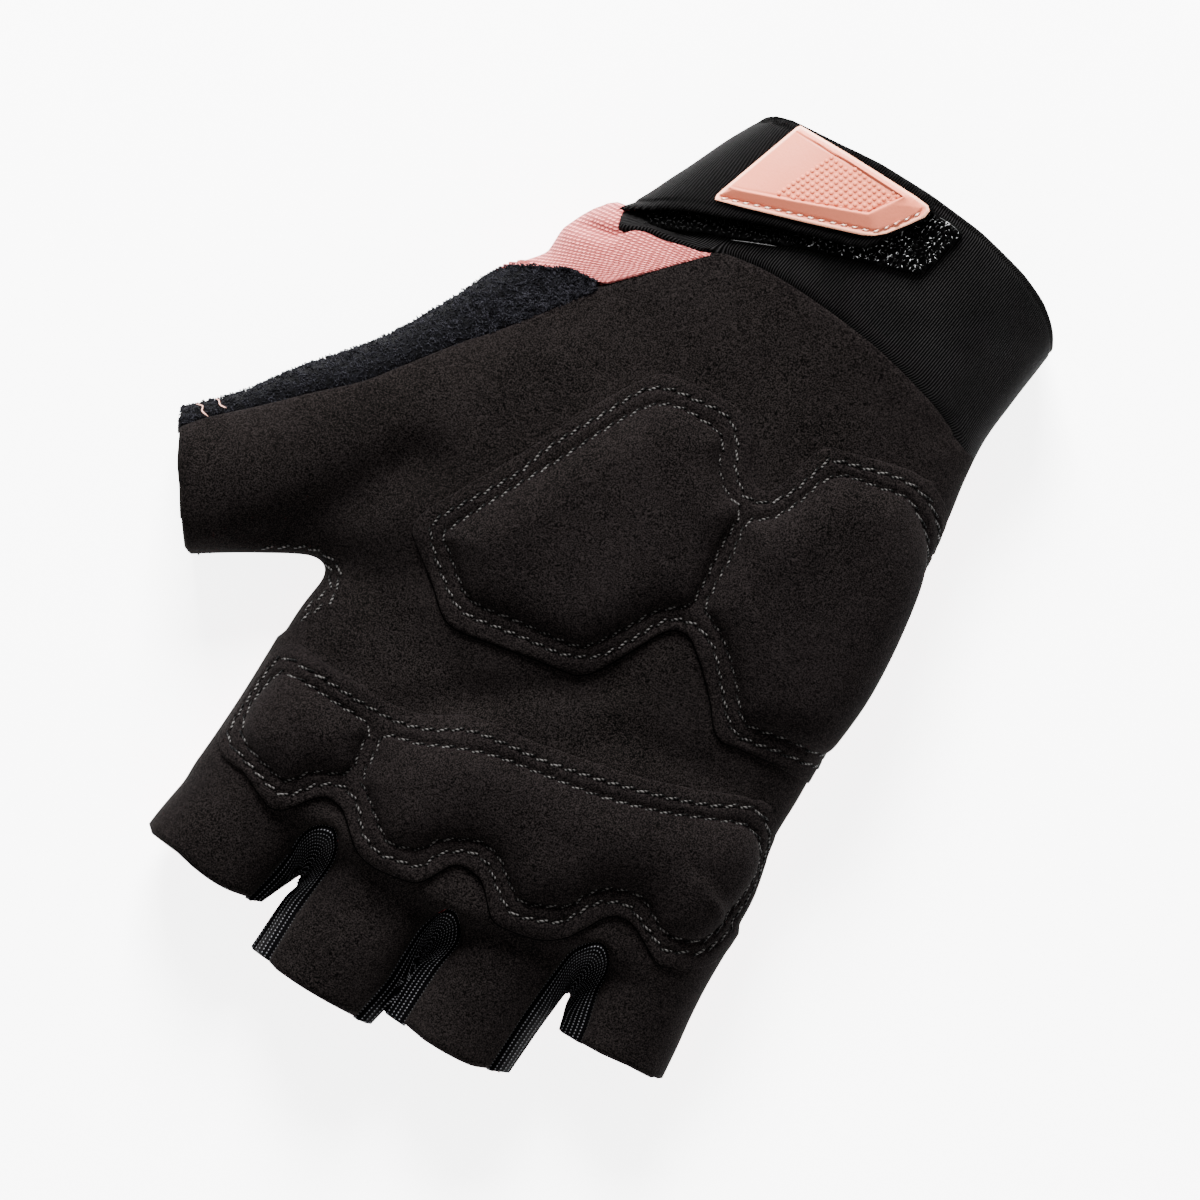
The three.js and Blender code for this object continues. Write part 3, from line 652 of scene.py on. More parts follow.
pink_cloth = cloth(pink_points, grid_of(len(pink_in), len(pink_angles))[:, ::-1])
middle_line = pink_points.reshape(len(pink_in), -1, 3)[len(pink_in) // 2]
pink_flat = places(np.arange(len(pink_in)) * PINK_STEP, along(middle_line))


def off_knots(row, place, squeeze):
    """Distance to the middle of a knot, in rows set like bricks, half a step on from row to row."""
    x = (place + row.math("FLOOR") * 0.5).math("FRACT") - 0.5
    y = (row.math("FRACT") - 0.5) * squeeze
    return (x * x + y * y).math("SQRT")


def knitted_mesh(name, ground, stitch, across, rows):
    """Chunky knit: rows of short raised stitches set like bricks, with painted highlights on their tops and
    painted shade in the darker ground between them.
    """
    look = Look(name)
    u, v = look.laid_flat()
    away = off_knots(u * (1 / rows), v * (1 / across) + look.noise(700, 1) * 0.9, 1.25)
    fibre, blotch = look.noise(5200, 2), look.noise(900, 1)
    # Painted light: the stitches' tops pale as highlights, the ground between them dark as shade.
    yarn = (away + (fibre - 0.5) * 0.35).ramp(0.55, 0.18, kind="SMOOTHSTEP")
    return look.shade(
        Base_Color=(yarn * (blotch * 1.7 + 0.15)).between(ground, stitch), Roughness=0.8, Specular_IOR_Level=0.15,
        Normal=look.bumps(yarn + fibre * 0.4, 1.0, 0.00032), Sheen_Weight=0.03,
    )


PINK_MESH = knitted_mesh("pink_mesh", (0.19, 0.034, 0.031), (0.68, 0.19, 0.177), 0.00088, 0.00064)
back_points = np.vstack([under_cloth[0], pink_cloth[0]])
back_points[:, 2] = np.maximum(back_points[:, 2], 0)  # it lies on the table
back_faces = np.vstack([under_cloth[1], pink_cloth[1] + len(under_cloth[0])])
back_flat = np.vstack([under_flat, under_flat, pink_flat, pink_flat])
piece("back_mesh", PINK_MESH, "mesh_knit", back_points, back_faces, back_flat, ["back"])

# The thumb's back: navy-black terry that comes over the thumb's side from beneath, sewn to the palm along a
# seam on top. It is a sheet round the thumb, worked out on planes across the thumb, with a pile of loops.
TERRY_STATIONS, TERRY_AROUND = 150, 84
TERRY_UNDER_PALM = 3.5  # degrees by which it runs on under the palm's edge
TERRY_TUCK, TUCK_COLUMNS = 1.3, 2.2  # it is sunk at the seam and rises over so many columns
TERRY_OVER_PINK, OVER_COLUMNS = 0.3, 3  # and lies on the pink mesh at its other edge
THUMB_MOUTH_LONG, THUMB_MOUTH_DRAWN = 2.8, 0.8  # its end draws back at the thumb's side

terry_along = np.linspace(-11.2, 57.6, TERRY_STATIONS)
seam_line = curve([(15, -41), *TERRY_SEAM, (62, 17.7)], 0.3)
seam_line = seam_line[np.argsort(seam_line @ THUMB_AXIS)]
seam_across = np.interp(terry_along, seam_line @ THUMB_AXIS, seam_line @ THUMB_ACROSS)
middle_across = ray_start(terry_along)
outwards = np.tile(THUMB_ACROSS, (TERRY_STATIONS, 1))
spine = middle_across[:, None] * THUMB_ACROSS + terry_along[:, None] * THUMB_AXIS
over = seam_across[:, None] * THUMB_ACROSS + terry_along[:, None] * THUMB_AXIS
seam_height = reach(*fan(over, outwards, [0.0]))[:, 2] - MIDDLE_Z
first = np.degrees(np.arctan2(seam_across - middle_across, seam_height)) - TERRY_UNDER_PALM
last = read(TERRY_LAST, terry_along)
terry_angles = first[:, None] + (last - first)[:, None] * np.linspace(0, 1, TERRY_AROUND)
start, way = fan(spine, outwards, terry_angles)
at_mouth = rise(terry_along, terry_along[-1] - THUMB_MOUTH_LONG, terry_along[-1]) ** 2
drawn = THUMB_MOUTH_DRAWN * at_mouth[:, None] * at_silhouette(terry_angles)
start[:, :2] -= drawn.reshape(-1, 1) * THUMB_AXIS
column = np.arange(TERRY_AROUND)
over_pink = rise(terry_along, 10, 7)[:, None] * np.exp(-(TERRY_AROUND - 1 - column) / OVER_COLUMNS)
terry_level = TERRY_OVER_PINK * over_pink - TERRY_TUCK * np.exp(-column / TUCK_COLUMNS)
terry_points = reach(start, way, terry_level.ravel())
terry_quads = grid_of(TERRY_STATIONS, TERRY_AROUND)[:, ::-1]
pile = terry_points.reshape(TERRY_STATIONS, TERRY_AROUND, 3)
terry_flat = places(terry_along, along(pile[TERRY_STATIONS // 2]))


def terry(name, dark, light):
    """Looped pile: two sizes of noise for the loops' heads, with a soft sheen."""
    look = Look(name)
    loops = look.place.node("TexVoronoi", "Distance", {}, {"Vector": look.place, "Scale": 2400})
    heads, tufts = look.noise(3400, 3, 0.7), look.noise(800, 3)
    return look.shade(
        Base_Color=(heads + tufts * 0.8).ramp(0.78, 1.1).between(dark, light), Roughness=0.95,
        Normal=look.bumps(tufts * 1.2 + (heads - loops), 0.8, 0.0003), Specular_IOR_Level=0.04,
        Sheen_Weight=0.008, Sheen_Roughness=0.4, Sheen_Tint=(0.9, 0.93, 1.0),
    )


# The cloth beneath the pile: the yarn's colours painted far darker, as painted shade under the loops.
TERRY_GROUND_SHADED = terry("terry", (0.0001, 0.0001, 0.0002), (0.0018, 0.0018, 0.0026))
TERRY_YARN = terry("terry_yarn", (0.0006, 0.0006, 0.001), (0.0162, 0.0158, 0.0198))
piece("thumb_terry", TERRY_GROUND_SHADED, "terry", *cloth(terry_points, terry_quads), terry_flat, ["thumb_back"])


def tubes_of(count, rings, sides):
    """Cells of closed tubes whose corners are numbered by tube, by ring along it and round the ring."""
    number = np.arange(count * rings * sides).reshape(count, rings, sides)
    after = np.roll(number, -1, axis=2)
    faces = [np.stack([number[:, :-1], number[:, 1:], after[:, 1:], after[:, :-1]], -1).reshape(-1, 4)]
    for end, order in ((number[:, 0], 1), (number[:, -1], -1)):
        faces += [end[:, [0, k, k + 1, min(k + 2, sides - 1)]][:, ::order] for k in range(1, sides - 1, 2)]
    return np.vstack(faces)


def threads(paths, radius, ups, sides=6):
    """Round threads along many paths at once, narrowed to closed ends, and each corner's place laid flat.

    paths has a row of points for each thread. A ring stands across the path at each point, with the first
    of its corners on the side away from ups.
    """
    count, rings, _ = paths.shape
    run = unit(np.gradient(paths, axis=1))
    side = unit(np.cross(run, ups[:, None]))
    turn = (np.arange(sides) + 0.5) / sides * 2 * np.pi
    width = radius * np.sqrt(np.clip(1 - np.linspace(-1, 1, rings) ** 6, 0.02, 1))
    ring = side[:, :, None] * np.sin(turn)[:, None] - np.cross(side, run)[:, :, None] * np.cos(turn)[:, None]
    points = (paths[:, :, None] + ring * width[:, None, None]).reshape(-1, 3)
    length = np.cumsum(np.linalg.norm(np.diff(paths, axis=1, prepend=paths[:, :1]), axis=2), axis=1)
    flat = np.stack(np.broadcast_arrays(length[:, :, None], turn * radius), -1).reshape(-1, 2)
    return points, tubes_of(count, rings, sides), flat


# The terry's pile: small loops of navy-black yarn, knitted into the cloth and standing up from it. They are
# thickest where they show and lean at random, and a fringe of them laps over the pink mesh.
LOOPS_ON_TOP, LOOPS_BELOW = 5400, 3400
TOP_SHARE = 0.4  # of the way round the thumb from the seam
LOOP_HEIGHT, LOOP_WIDTH, LOOP_YARN = 0.44, 0.32, 0.085
LOOP_ROOT = 0.2  # how deep in the cloth a loop starts
FRINGE = 210
FRINGE_END = 9  # station along the thumb where the fringe ends
FRINGE_ROOT, FRINGE_STANDS = 0.15, 0.35

dice = np.random.default_rng(11)
terry_normals = normals_of(terry_points, terry_quads).reshape(pile.shape)
spot = dice.uniform(0.2, TERRY_STATIONS - 1.2, LOOPS_ON_TOP + LOOPS_BELOW)
on_top, below = dice.uniform(0, 1, LOOPS_ON_TOP), dice.uniform(0, 1, LOOPS_BELOW)
share = np.concatenate([TOP_SHARE * on_top, TOP_SHARE + (1 - TOP_SHARE) * below])
side_spot = 1.2 + (TERRY_AROUND - 2.4) * share
i, j = spot.astype(int), side_spot.astype(int)
root = pile[i, j] + (pile[i + 1, j] - pile[i, j]) * (spot - i)[:, None]
root += (pile[i, j + 1] - pile[i, j]) * (side_spot - j)[:, None]
edge = dice.integers(0, np.searchsorted(terry_along, FRINGE_END), FRINGE)
over_edge, edge_normal = unit(pile[edge, -1] - pile[edge, -2]), terry_normals[edge, -1]
root = np.vstack([root, pile[edge, -1] + (edge_normal - over_edge) * FRINGE_ROOT])
fringe_stand = FRINGE_STANDS * edge_normal + over_edge * dice.uniform(0.5, 1.3, (FRINGE, 1))
stand = np.vstack([terry_normals[i, j], fringe_stand])
lean = dice.normal(size=root.shape)
lean = unit(lean - (lean * stand).sum(1, keepdims=True) * stand)
bow = np.linspace(-1, 1, 5)[:, None]
height = dice.uniform(0.5, 1.2, (len(root), 1, 1)) * LOOP_HEIGHT
sway = np.roll(lean, 1, axis=1)[:, None] * (1 - bow**2) * dice.uniform(0, 0.4, (len(root), 1, 1))
arch = stand[:, None] * (height * (1 - bow**2) - LOOP_ROOT)
loops = root[:, None] + lean[:, None] * bow * LOOP_WIDTH + arch + sway
loops[..., 2] = np.maximum(loops[..., 2], LOOP_YARN)
loop_groups = [("thumb_terry_pile", slice(LOOPS_ON_TOP)), ("thumb_terry_outer_pile", slice(LOOPS_ON_TOP, None))]
for name, some in loop_groups:
    piece(name, TERRY_YARN, "terry", *threads(loops[some], LOOP_YARN, np.roll(stand[some], 1, axis=1), 4))

# The cuff: a tube of black fine-rib knit round the wrist. It runs on under the palm and the terry, where it is
# sewn, lies over the pink mesh, and has a turned hem at its mouth.
CUFF_AROUND, CUFF_ROWS = 260, 92
CUFF_AXIS_Z = 12
CUFF_TOP = [(-52, -43.5), (-49.4, -47), (-47, -48.5), *CUFF_SEAM, *CUFF_BORDER[1:]]
CUFF_UNDER = [(-52, -43.5), (-49, -46.5), (-44, -48), (-28, -53), (0, -54), (20.5, -52.2)]
CUFF_MOUTH = [
    (-52, -69), (-50.3, -71.2), (-49, -73.3), (-46, -75.8), (-40, -78), (-35, -79), (-30, -79.9), (-20, -80.5),
    (-10, -80.4), (0, -79.2), (4, -78.2), (7, -76.9), (12, -74.6),
]
UNDER_SHORTER = 2.5
LAID_FLAT_RING = 40  # number of the ring that gives the knit's places when it is laid flat
CUFF_TUCK = 1.3  # how far it runs on under the palm and the terry
CUFF_SUNK, CUFF_PROUD = 1.5, 0.35  # how deep it lies there, and how far it stands out over the pink mesh
HEM, HEM_DEEP, HEM_HALF = 1.1, 0.32, 0.28  # the groove of its hem: place, depth, half width
MOUTH_DEEP, MOUTH_HALF = 0.5, 0.35
MOUTH_NEAR, TOP_NEAR = -76.0, -51.0  # stations near its two ends
SWELL, SWELL_Y, SWELL_LONG = 1.6, -51.3, 1.3  # how far it stands out beside the pink mesh, and where that fades
turn = np.linspace(0, 2 * np.pi, CUFF_AROUND, endpoint=False)
spoke = np.column_stack([np.cos(turn), np.zeros(CUFF_AROUND), np.sin(turn)])


def cuff_points(y, level):
    """Where rays across the wrist, at the given stations, meet a level over the hand."""
    left, right, _ = smooth(HAND, y)
    middle = np.column_stack([(left + right) / 2, y, np.full(len(y), CUFF_AXIS_Z)])
    return reach(middle, np.tile(spoke, (len(y) // CUFF_AROUND, 1)), level)


def swollen(y):
    """How far the cuff stands out at its sewn edge, where the pink mesh bulges beside it."""
    return SWELL * np.clip(np.cos(turn), 0, 1) ** 3 * bell(np.clip(SWELL_Y - y, 0, None), SWELL_LONG)


def evened(ring):
    """Values round a ring, each a mean of itself twice and its two neighbours."""
    return (np.roll(ring, 1) + 2 * ring + np.roll(ring, -1)) / 4


x_mouth = cuff_points(np.full(CUFF_AROUND, MOUTH_NEAR), 0)[:, 0]
y_top = np.full(CUFF_AROUND, TOP_NEAR)
for _ in range(12):  # the edge's place across the wrist depends on where along it the edge lies
    x_top = cuff_points(y_top, swollen(y_top))[:, 0]
    y_top += (np.where(np.sin(turn) > 0, read(CUFF_TOP, x_top), read(CUFF_UNDER, x_top)) - y_top) / 2
y_mouth = read(CUFF_MOUTH, x_mouth) + UNDER_SHORTER * np.clip(-np.sin(turn), 0, 1) ** 0.5
for _ in range(6):
    y_mouth = evened(y_mouth)
over_pink = rise(x_top, 2.4, 3.6) * (np.sin(turn) > -0.3)
sewn = evened(y_top) + CUFF_TUCK * (1 - over_pink)
down = np.linspace(0, 1, CUFF_ROWS)[:, None]
y = sewn * (1 - down) + y_mouth * down
level = (CUFF_PROUD * over_pink - CUFF_SUNK * (1 - over_pink)) * bell(sewn - y, 1.5) + swollen(y)
level -= HEM_DEEP * bell(y - y_mouth - HEM, HEM_HALF) + MOUTH_DEEP * bell(y - y_mouth, MOUTH_HALF)
cuff_skin = cuff_points(y.ravel(), level.ravel())
cuff_quads = grid_of(CUFF_ROWS, CUFF_AROUND, closed=True)[:, ::-1]
ring_mm = along(cuff_skin.reshape(CUFF_ROWS, -1, 3)[LAID_FLAT_RING])
cuff_flat = np.stack([np.tile(ring_mm, CUFF_ROWS), y.ravel()], 1)
RIB_PITCH = 0.00042


def fine_rib(name, dark, light, slant):
    """Fine rib knit: close ridges that run one way, each broken into small stitches, with a painted highlight
    along their tops and painted shade between them.
    """
    look = Look(name)
    u, v = look.laid_flat()
    fibre, blotch = look.noise(3600, 2), look.noise(110, 2)
    ridge = ((u + v * slant) * (2 * np.pi / RIB_PITCH) + fibre * 0.9).math("SINE") * 0.5 + 0.5
    # Painted light: the ridges' tops pale as highlights, the hollows between them dark as shade.
    tone = ridge.math("POWER", 2.6) * (fibre * 1.2 + (blotch - 0.4))
    return look.shade(
        Base_Color=tone.between(dark, light), Normal=look.bumps(ridge + fibre * 0.4, 0.9, 0.00018), Roughness=0.75,
        Specular_IOR_Level=0.015, Sheen_Weight=0.001,
    )


RIB_KNIT = fine_rib("rib_knit", (0.0002, 0.00018, 0.00018), (0.0145, 0.0136, 0.0138), -0.14)
piece("cuff_knit", RIB_KNIT, "rib_knit", *cloth(cuff_skin, cuff_quads), cuff_flat, ["cuff"])

# The gussets between the fingers: black knitted webbing let into each slit, down one finger's side, across
# the web and up the next. Ridges of small stitches run along it.
GUSSET_ROWS = 60
GUSSET_RIDGE, RIDGE_HIGH = 0.7, 0.035
GUSSET_LOW = 3.4
GUSSET_START, GUSSET_PAST = 0.5, 0.7  # its rays start this far inside the slit's edge and end past the gap's
GUSSET_PUSH = 2.4  # the gap is filled out low down
GUSSET_EDGE, GUSSET_EDGE_HALF, GUSSET_PROUD = 0.6, 0.8, 0.2  # sunk at the slit's edge, proud beyond it
GUSSET_THICK = 1.1
STEEP = 0.3  # ridges crowd on the steep side, by this share of the height
# Each row: a place on the slit's edge, and the place on the gap's edge below that it faces.
webs = {
    "gusset_little_ring": [
        (-37.8, 75.5, -40.1, 74.6), (-37.7, 64.2, -40.4, 64.2), (-38.1, 55.8, -40.8, 59.6),
        (-38.5, 52.1, -41, 58.2), (-40, 49.6, -41.2, 57.9), (-41.7, 48.5, -41.5, 57.7),
        (-43.5, 49.6, -41.9, 57.95), (-44.6, 52.1, -42.1, 58.4), (-44.8, 55, -42.3, 59.6),
        (-46.5, 60.8, -43.1, 61.8), (-47.1, 64, -43.8, 64.2),
    ],
    "gusset_ring_middle": [
        (-15.4, 80.2, -17.2, 80), (-16.5, 72.5, -18.5, 72.5), (-16.3, 64.2, -18.5, 67.2),
        (-16.5, 61.7, -18.15, 66.4), (-17.5, 57.9, -18.3, 65.7), (-18.8, 57.2, -18.4, 65.5),
        (-20, 57.7, -18.5, 65.7), (-21.9, 60.8, -18.6, 66.5), (-21.5, 66.3, -18.3, 67.8),
        (-21.5, 75.4, -18.2, 75.4), (-21.5, 77, -18.7, 77),
    ],
    "gusset_middle_index": [
        (9.4, 73.6, 8.2, 73.2), (8.3, 68.3, 6.4, 68.5), (7.9, 64.2, 5.6, 66.6), (7.9, 60, 5.2, 65.9),
        (6.9, 57.7, 5, 65.5), (5.4, 56.7, 4.7, 65.3), (4, 56.7, 4.4, 65.4), (2.5, 58.8, 4.25, 65.7),
        (1.9, 61.7, 4.1, 66.5), (2.3, 70.4, 4.7, 70.6), (2.1, 80, 4.9, 80),
    ],
}


def webbing(name, dark, light, row_pitch, knot_pitch):
    """Knitted webbing: ridges along it, each a row of small pale knots, set half a step on from row to row."""
    look = Look(name)
    u, v = look.laid_flat()
    knot = off_knots(v * (1 / row_pitch) + 0.5, u * (1 / knot_pitch), 1.7).ramp(0.34, 0.1, kind="SMOOTHSTEP")
    fibre = look.noise(3400, 2)
    return look.shade(
        Base_Color=(knot * (fibre * 2.4 - 0.4)).between(dark, light), Roughness=0.8, Specular_IOR_Level=0.02,
        Normal=look.bumps(knot + fibre * 0.5, 0.6, 0.0001),
    )


def stopped(points, start, furthest):
    """Points of rays, held back where they have gone further out in plan than they may."""
    gone = np.linalg.norm(points[:, :2] - start[:, :2], axis=1)
    return start + (points - start) * np.minimum(1, furthest / np.maximum(gone, 1e-6))[:, None]


WEBBING = webbing("webbing", (0.0002, 0.0002, 0.0003), (0.092, 0.092, 0.098), GUSSET_RIDGE * MM, 0.00056)
for name, rows in webs.items():
    line = curve(rows, 0.4)
    across = line[:, 2:] - line[:, :2]
    wide = np.linalg.norm(across, axis=1, keepdims=True)
    lowest = 90 + np.degrees(np.arctan2(MIDDLE_Z - GUSSET_LOW, wide + GUSSET_START))
    share = np.linspace(0.02, 1, GUSSET_ROWS)
    start, way = fan(line[:, :2] - unit(across) * GUSSET_START, unit(across), lowest * share)
    furthest = np.repeat(wide + GUSSET_PAST, GUSSET_ROWS)  # the fingers touch low down, and it stops at the gap
    pushed = np.tile(GUSSET_PUSH * rise(share, 0.5, 0.8), len(line))
    skin = stopped(reach(start, way, pushed), start, furthest).reshape(len(line), -1, 3)
    step = np.diff(skin, axis=1, prepend=skin[:, :1])
    down_side = np.cumsum(np.hypot(np.linalg.norm(step[..., :2], axis=2), STEEP * step[..., 2]), axis=1)
    ridges = RIDGE_HIGH * (1 - np.cos(2 * np.pi * down_side / GUSSET_RIDGE))
    sunk = (GUSSET_EDGE * bell(down_side, GUSSET_EDGE_HALF) + ridges - GUSSET_PROUD).ravel()
    skin = stopped(reach(start, way, pushed - sunk), start, furthest - sunk)
    shell = cloth(skin, grid_of(len(line), GUSSET_ROWS)[:, ::-1], GUSSET_THICK)
    flat = np.stack(np.broadcast_arrays(along(line[:, :2])[:, None], down_side), -1).reshape(-1, 2)
    piece(name + "_webbing", WEBBING, "webbing", *shell, flat, [name])

# The heel cover: suede laid over two foam pads and sewn to the palm, with a narrow channel between the
# pads. It runs over the little finger's side of the hand, and its edge is cut and left raw.
COVER_STEP = 0.5
COVER_THICK = 0.8
COVER_UNDER = -0.15  # its underside lies this deep in the palm
LAID_DOWN = 0.25  # thickness left at an edge that faces the wrist, where the cover is pressed into the palm
EDGE_THICK = 0.65  # thickness of its cut edge where it faces the fingers
EDGE_WIDE = 1.9  # from there it comes to its full thickness over this distance
CUT_EDGE, CUT_DEEP = 0.15, 0.08  # how far in and how deep it is pressed down at its cut edge
SPLAY = 0.12  # how far the cut edge slopes out to its foot
PAD_RISE, PAD_SHOULDER = 2.8, 6.5
PUFF, PUFF_HALF = 0.16, 0.9  # how far the cover swells between two rows of stitches
GROOVE, GROOVE_HALF = 0.4, 0.32
PULLED_TIGHT = 0.7
TOWARDS_FINGERS = np.array([-0.5446, 0.8387])
UP = np.array([[0.0, 0.0, 1.0]])
HEEL_EDGE = [
    (-45.2, -41.7), (-41, -41.4), (-31, -38.3), (-28.6, -37.4), (-27.4, -35.4), (-26.4, -31), (-25.2, -27.2),
    (-23.6, -26), (-22, -26.2), (-19.8, -28.4), (-17.8, -32), (-15.6, -34), (-12, -34.9), (-4, -34),
    (-0.8, -33.3), (1.2, -31.6), (3.8, -27.4), (7, -21), (12.3, -9), (17, 0.5), (19.4, 5.4), (20, 7.6),
    (19.8, 9.3), (18.8, 10.5), (12.1, 15.3), (8.8, 18), (6.9, 18.9), (4.6, 19), (0, 18), (-8.8, 16),
    (-14.2, 14.9), (-15.8, 13.9), (-17.1, 12.4), (-19.6, 7.6), (-22.1, 2.4), (-23.3, 0.7), (-25, -0.2),
    (-26.7, -0.1), (-28.3, 0.8), (-31.7, 3.5), (-35, 6.6), (-38.3, 10.3), (-40, 11), (-41.7, 10.7),
    (-48.3, 9.5), (-49.8, 9.3),
]
HEEL_TURN = [(-41.7, 3), (-38, 40), (-34.5, 66), (-30, 86), (-25, 95), (3, 95), (6, 88), (8, 72), (9.3, 56)]
HEEL_OUTER_ROW = [
    (-54.8, 6.2), (-48.3, 7.6), (-42.1, 8.8), (-39.6, 8), (-36.3, 4.9), (-31.3, -0.3), (-29.6, -1.3),
    (-26.3, -2.2), (-22.9, -1.1), (-21.3, 0.8), (-18.8, 5.8), (-16.7, 9.5), (-15, 11.2), (-10.8, 13.3),
    (-5, 14.3), (0, 15.3), (5.4, 16.2), (8.3, 15.4), (13.3, 12), (15.8, 9.9), (17.3, 8), (17.4, 6.2), (15.4, 2),
    (12.9, -2.6), (10.4, -7.6), (9.2, -11.8), (6.9, -17.2), (4.4, -22.2), (2.7, -25.9), (0.6, -29.5),
    (-2.5, -31.5), (-8.8, -32.6), (-11.3, -32.9), (-13.8, -32.3), (-16.3, -29.9), (-18.3, -26.5), (-21.3, -24),
    (-22.5, -23.8), (-25.4, -24.9), (-27.7, -28.4), (-28.8, -31.8), (-29.8, -35.5), (-31, -36.4),
    (-36.3, -38.2), (-41.3, -39.6), (-45.4, -39.4), (-49.2, -36.4), (-53, -33), (-55.6, -29), (-57.6, -22),
    (-59, -12), (-59.6, -4), (-59.2, 2), (-57.4, 5.4),
]
THUMB_SIDE_PAD = [
    (-23.3, -3.8), (-20, -0.9), (-17.1, 4.5), (-13.8, 9.7), (-11.7, 11), (-2.5, 12.6), (4.6, 13.9), (7.5, 13.3),
    (13.3, 9.1), (15, 7.8), (14.7, 5.8), (12.5, 0.8), (9.2, -6.3), (6, -13), (3.1, -19.7), (0.8, -24.3),
    (-1.3, -27.6), (-4.6, -29.7), (-10.4, -30.2), (-13.8, -29.3), (-15.8, -25.5), (-18.8, -22.8),
    (-22.3, -21.3), (-23, -14.3), (-24, -5.6),
]
LITTLE_SIDE_PAD = [
    (-54.6, 4.1), (-47.9, 5.3), (-42.5, 6.5), (-40.4, 5.9), (-36.7, 1.8), (-31.3, -2.8), (-27.3, -4.7),
    (-26.1, -5.6), (-25.2, -14.7), (-24.6, -20.6), (-27.5, -23.4), (-29.8, -28.4), (-30.8, -32.2),
    (-33.1, -34.9), (-38.3, -36.4), (-43.1, -37.5), (-45.2, -37.1), (-48, -34.6), (-50.8, -31.4),
    (-53.4, -27.4), (-55.4, -20), (-56.8, -11), (-57.4, -4), (-57, 1), (-56, 3.4),
]


def laid(flat, sides=()):
    """Rays for places laid flat: straight up, or turned out past a side line by distance over BEND."""
    start = np.column_stack([flat, np.full(len(flat), MIDDLE_Z)])
    way = np.tile([0.0, 0.0, 1.0], (len(flat), 1))
    for points in sides:
        line = curve(points, SIDE_STEP)
        out = right_of(line)
        near = np.linalg.norm(flat[:, None] - line, axis=2).argmin(1)
        past = ((flat - line[near]) * out[near]).sum(1)
        beyond = past > 0
        n, angle = near[beyond], (past[beyond] / BEND)[:, None]
        start[beyond, :2] = line[n]
        way[beyond] = np.column_stack([out[n] * np.sin(angle), np.cos(angle)])
    return start, way


def cover(name, node, edge, turns, pads, rows):
    """A padded cover: cells from wrapped, its top at cover_level over the skin, its underside on the palm."""
    bits = []
    for part, (line, turn) in zip(edge, turns):
        low, high = min(y for y, _ in turn), max(y for y, _ in turn)
        even = curve(line, 0.3)
        bits += [curve(part, 0.3), even[(even[:, 1] > low) & (even[:, 1] < high)]]
    start, way, quads, flat = wrapped(np.vstack(bits), COVER_STEP, turns)
    edges = rim_of(quads)
    rim = np.unique(edges)
    run = flat[edges[:, 1]] - flat[edges[:, 0]]
    outward = np.zeros_like(flat)
    np.add.at(outward, edges.ravel(), np.repeat(np.column_stack([run[:, 1], -run[:, 0]]), 2, axis=0))
    outward = unit(outward)
    gaps = np.array([np.linalg.norm(flat - spot, axis=1) for spot in flat[rim]])
    off_edge, facing = gaps.min(0), outward[rim][gaps.argmin(0)] @ TOWARDS_FINGERS
    at_edge = LAID_DOWN + (EDGE_THICK - LAID_DOWN) * rise(facing, -0.35, 0.35)
    thick = at_edge + (COVER_THICK - at_edge) * rise(off_edge, 0, EDGE_WIDE) ** 2
    level = cover_level(flat, way, thick - CUT_DEEP * bell(off_edge, CUT_EDGE), pads, rows)
    foot = start + np.column_stack([outward, np.zeros(len(flat))]) * SPLAY
    shell = layers(reach(start, way, level), reach(foot, way, COVER_UNDER), quads)
    made = piece(name, COVER_SUEDE, "suede", *shell, flat, [node])


def cover_level(flat, way, thick, pads, rows):
    """Height of a cover over the skin: its cloth, a dome over each pad, a swell between rows, and grooves.

    It thins where the way from the hand's middle turns sideways, since the cloth is pulled tight there.
    """
    level = np.array(thick, float)
    off_rows = [nearest(curve(row, 0.5, closed=True), flat)[1] for row in rows]
    for pad in pads:
        outline = curve(pad, 0.5, closed=True)
        off = nearest(outline, flat)[1]
        dome = (1 - (1 - rise(off, 0, PAD_SHOULDER)) ** 2) ** 0.75
        level += np.where(inside(outline, flat), PAD_RISE * dome, 0)
        off_rows.append(off)
    off_row = np.min(off_rows, axis=0)
    tight = 1 - PULLED_TIGHT * (way[:, 0] ** 2 + way[:, 1] ** 2)
    return (level + PUFF * (1 - bell(off_row, PUFF_HALF)) - GROOVE * bell(off_row, GROOVE_HALF)) * tight


COVER_SUEDE = suede("cover_suede", (0.0002, 0.00016, 0.00016), (0.0102, 0.0083, 0.0081))
EDGE_SHADOW_SUEDE = suede("edge_shadow_suede", (0.0001, 0.0001, 0.0001), (0.0009, 0.0008, 0.0008))
FUZZ, FUZZ_OUT, FUZZ_HIGH = 0.17, 0.1, 0.2  # radius of the dark rim of painted shadow, how far out and how high it lies


def edge_shadow_rim(name, line):
    """A dark fuzzy rim along a line just outside the cover's top: painted shadow where the cut edge shades the
    palm, standing in for the raw edge as well.
    """
    even = curve(line, 0.25)
    rim = reach(*laid(even + right_of(even) * FUZZ_OUT, [LITTLE_LINE]), FUZZ_HIGH)
    piece(name, EDGE_SHADOW_SUEDE, "suede", *threads(rim[None], FUZZ, UP))


heel_foam = [THUMB_SIDE_PAD, LITTLE_SIDE_PAD]
cover("heel_pads", "heel_cover", [HEEL_EDGE], [(LITTLE_LINE, HEEL_TURN)], heel_foam, [HEEL_OUTER_ROW])

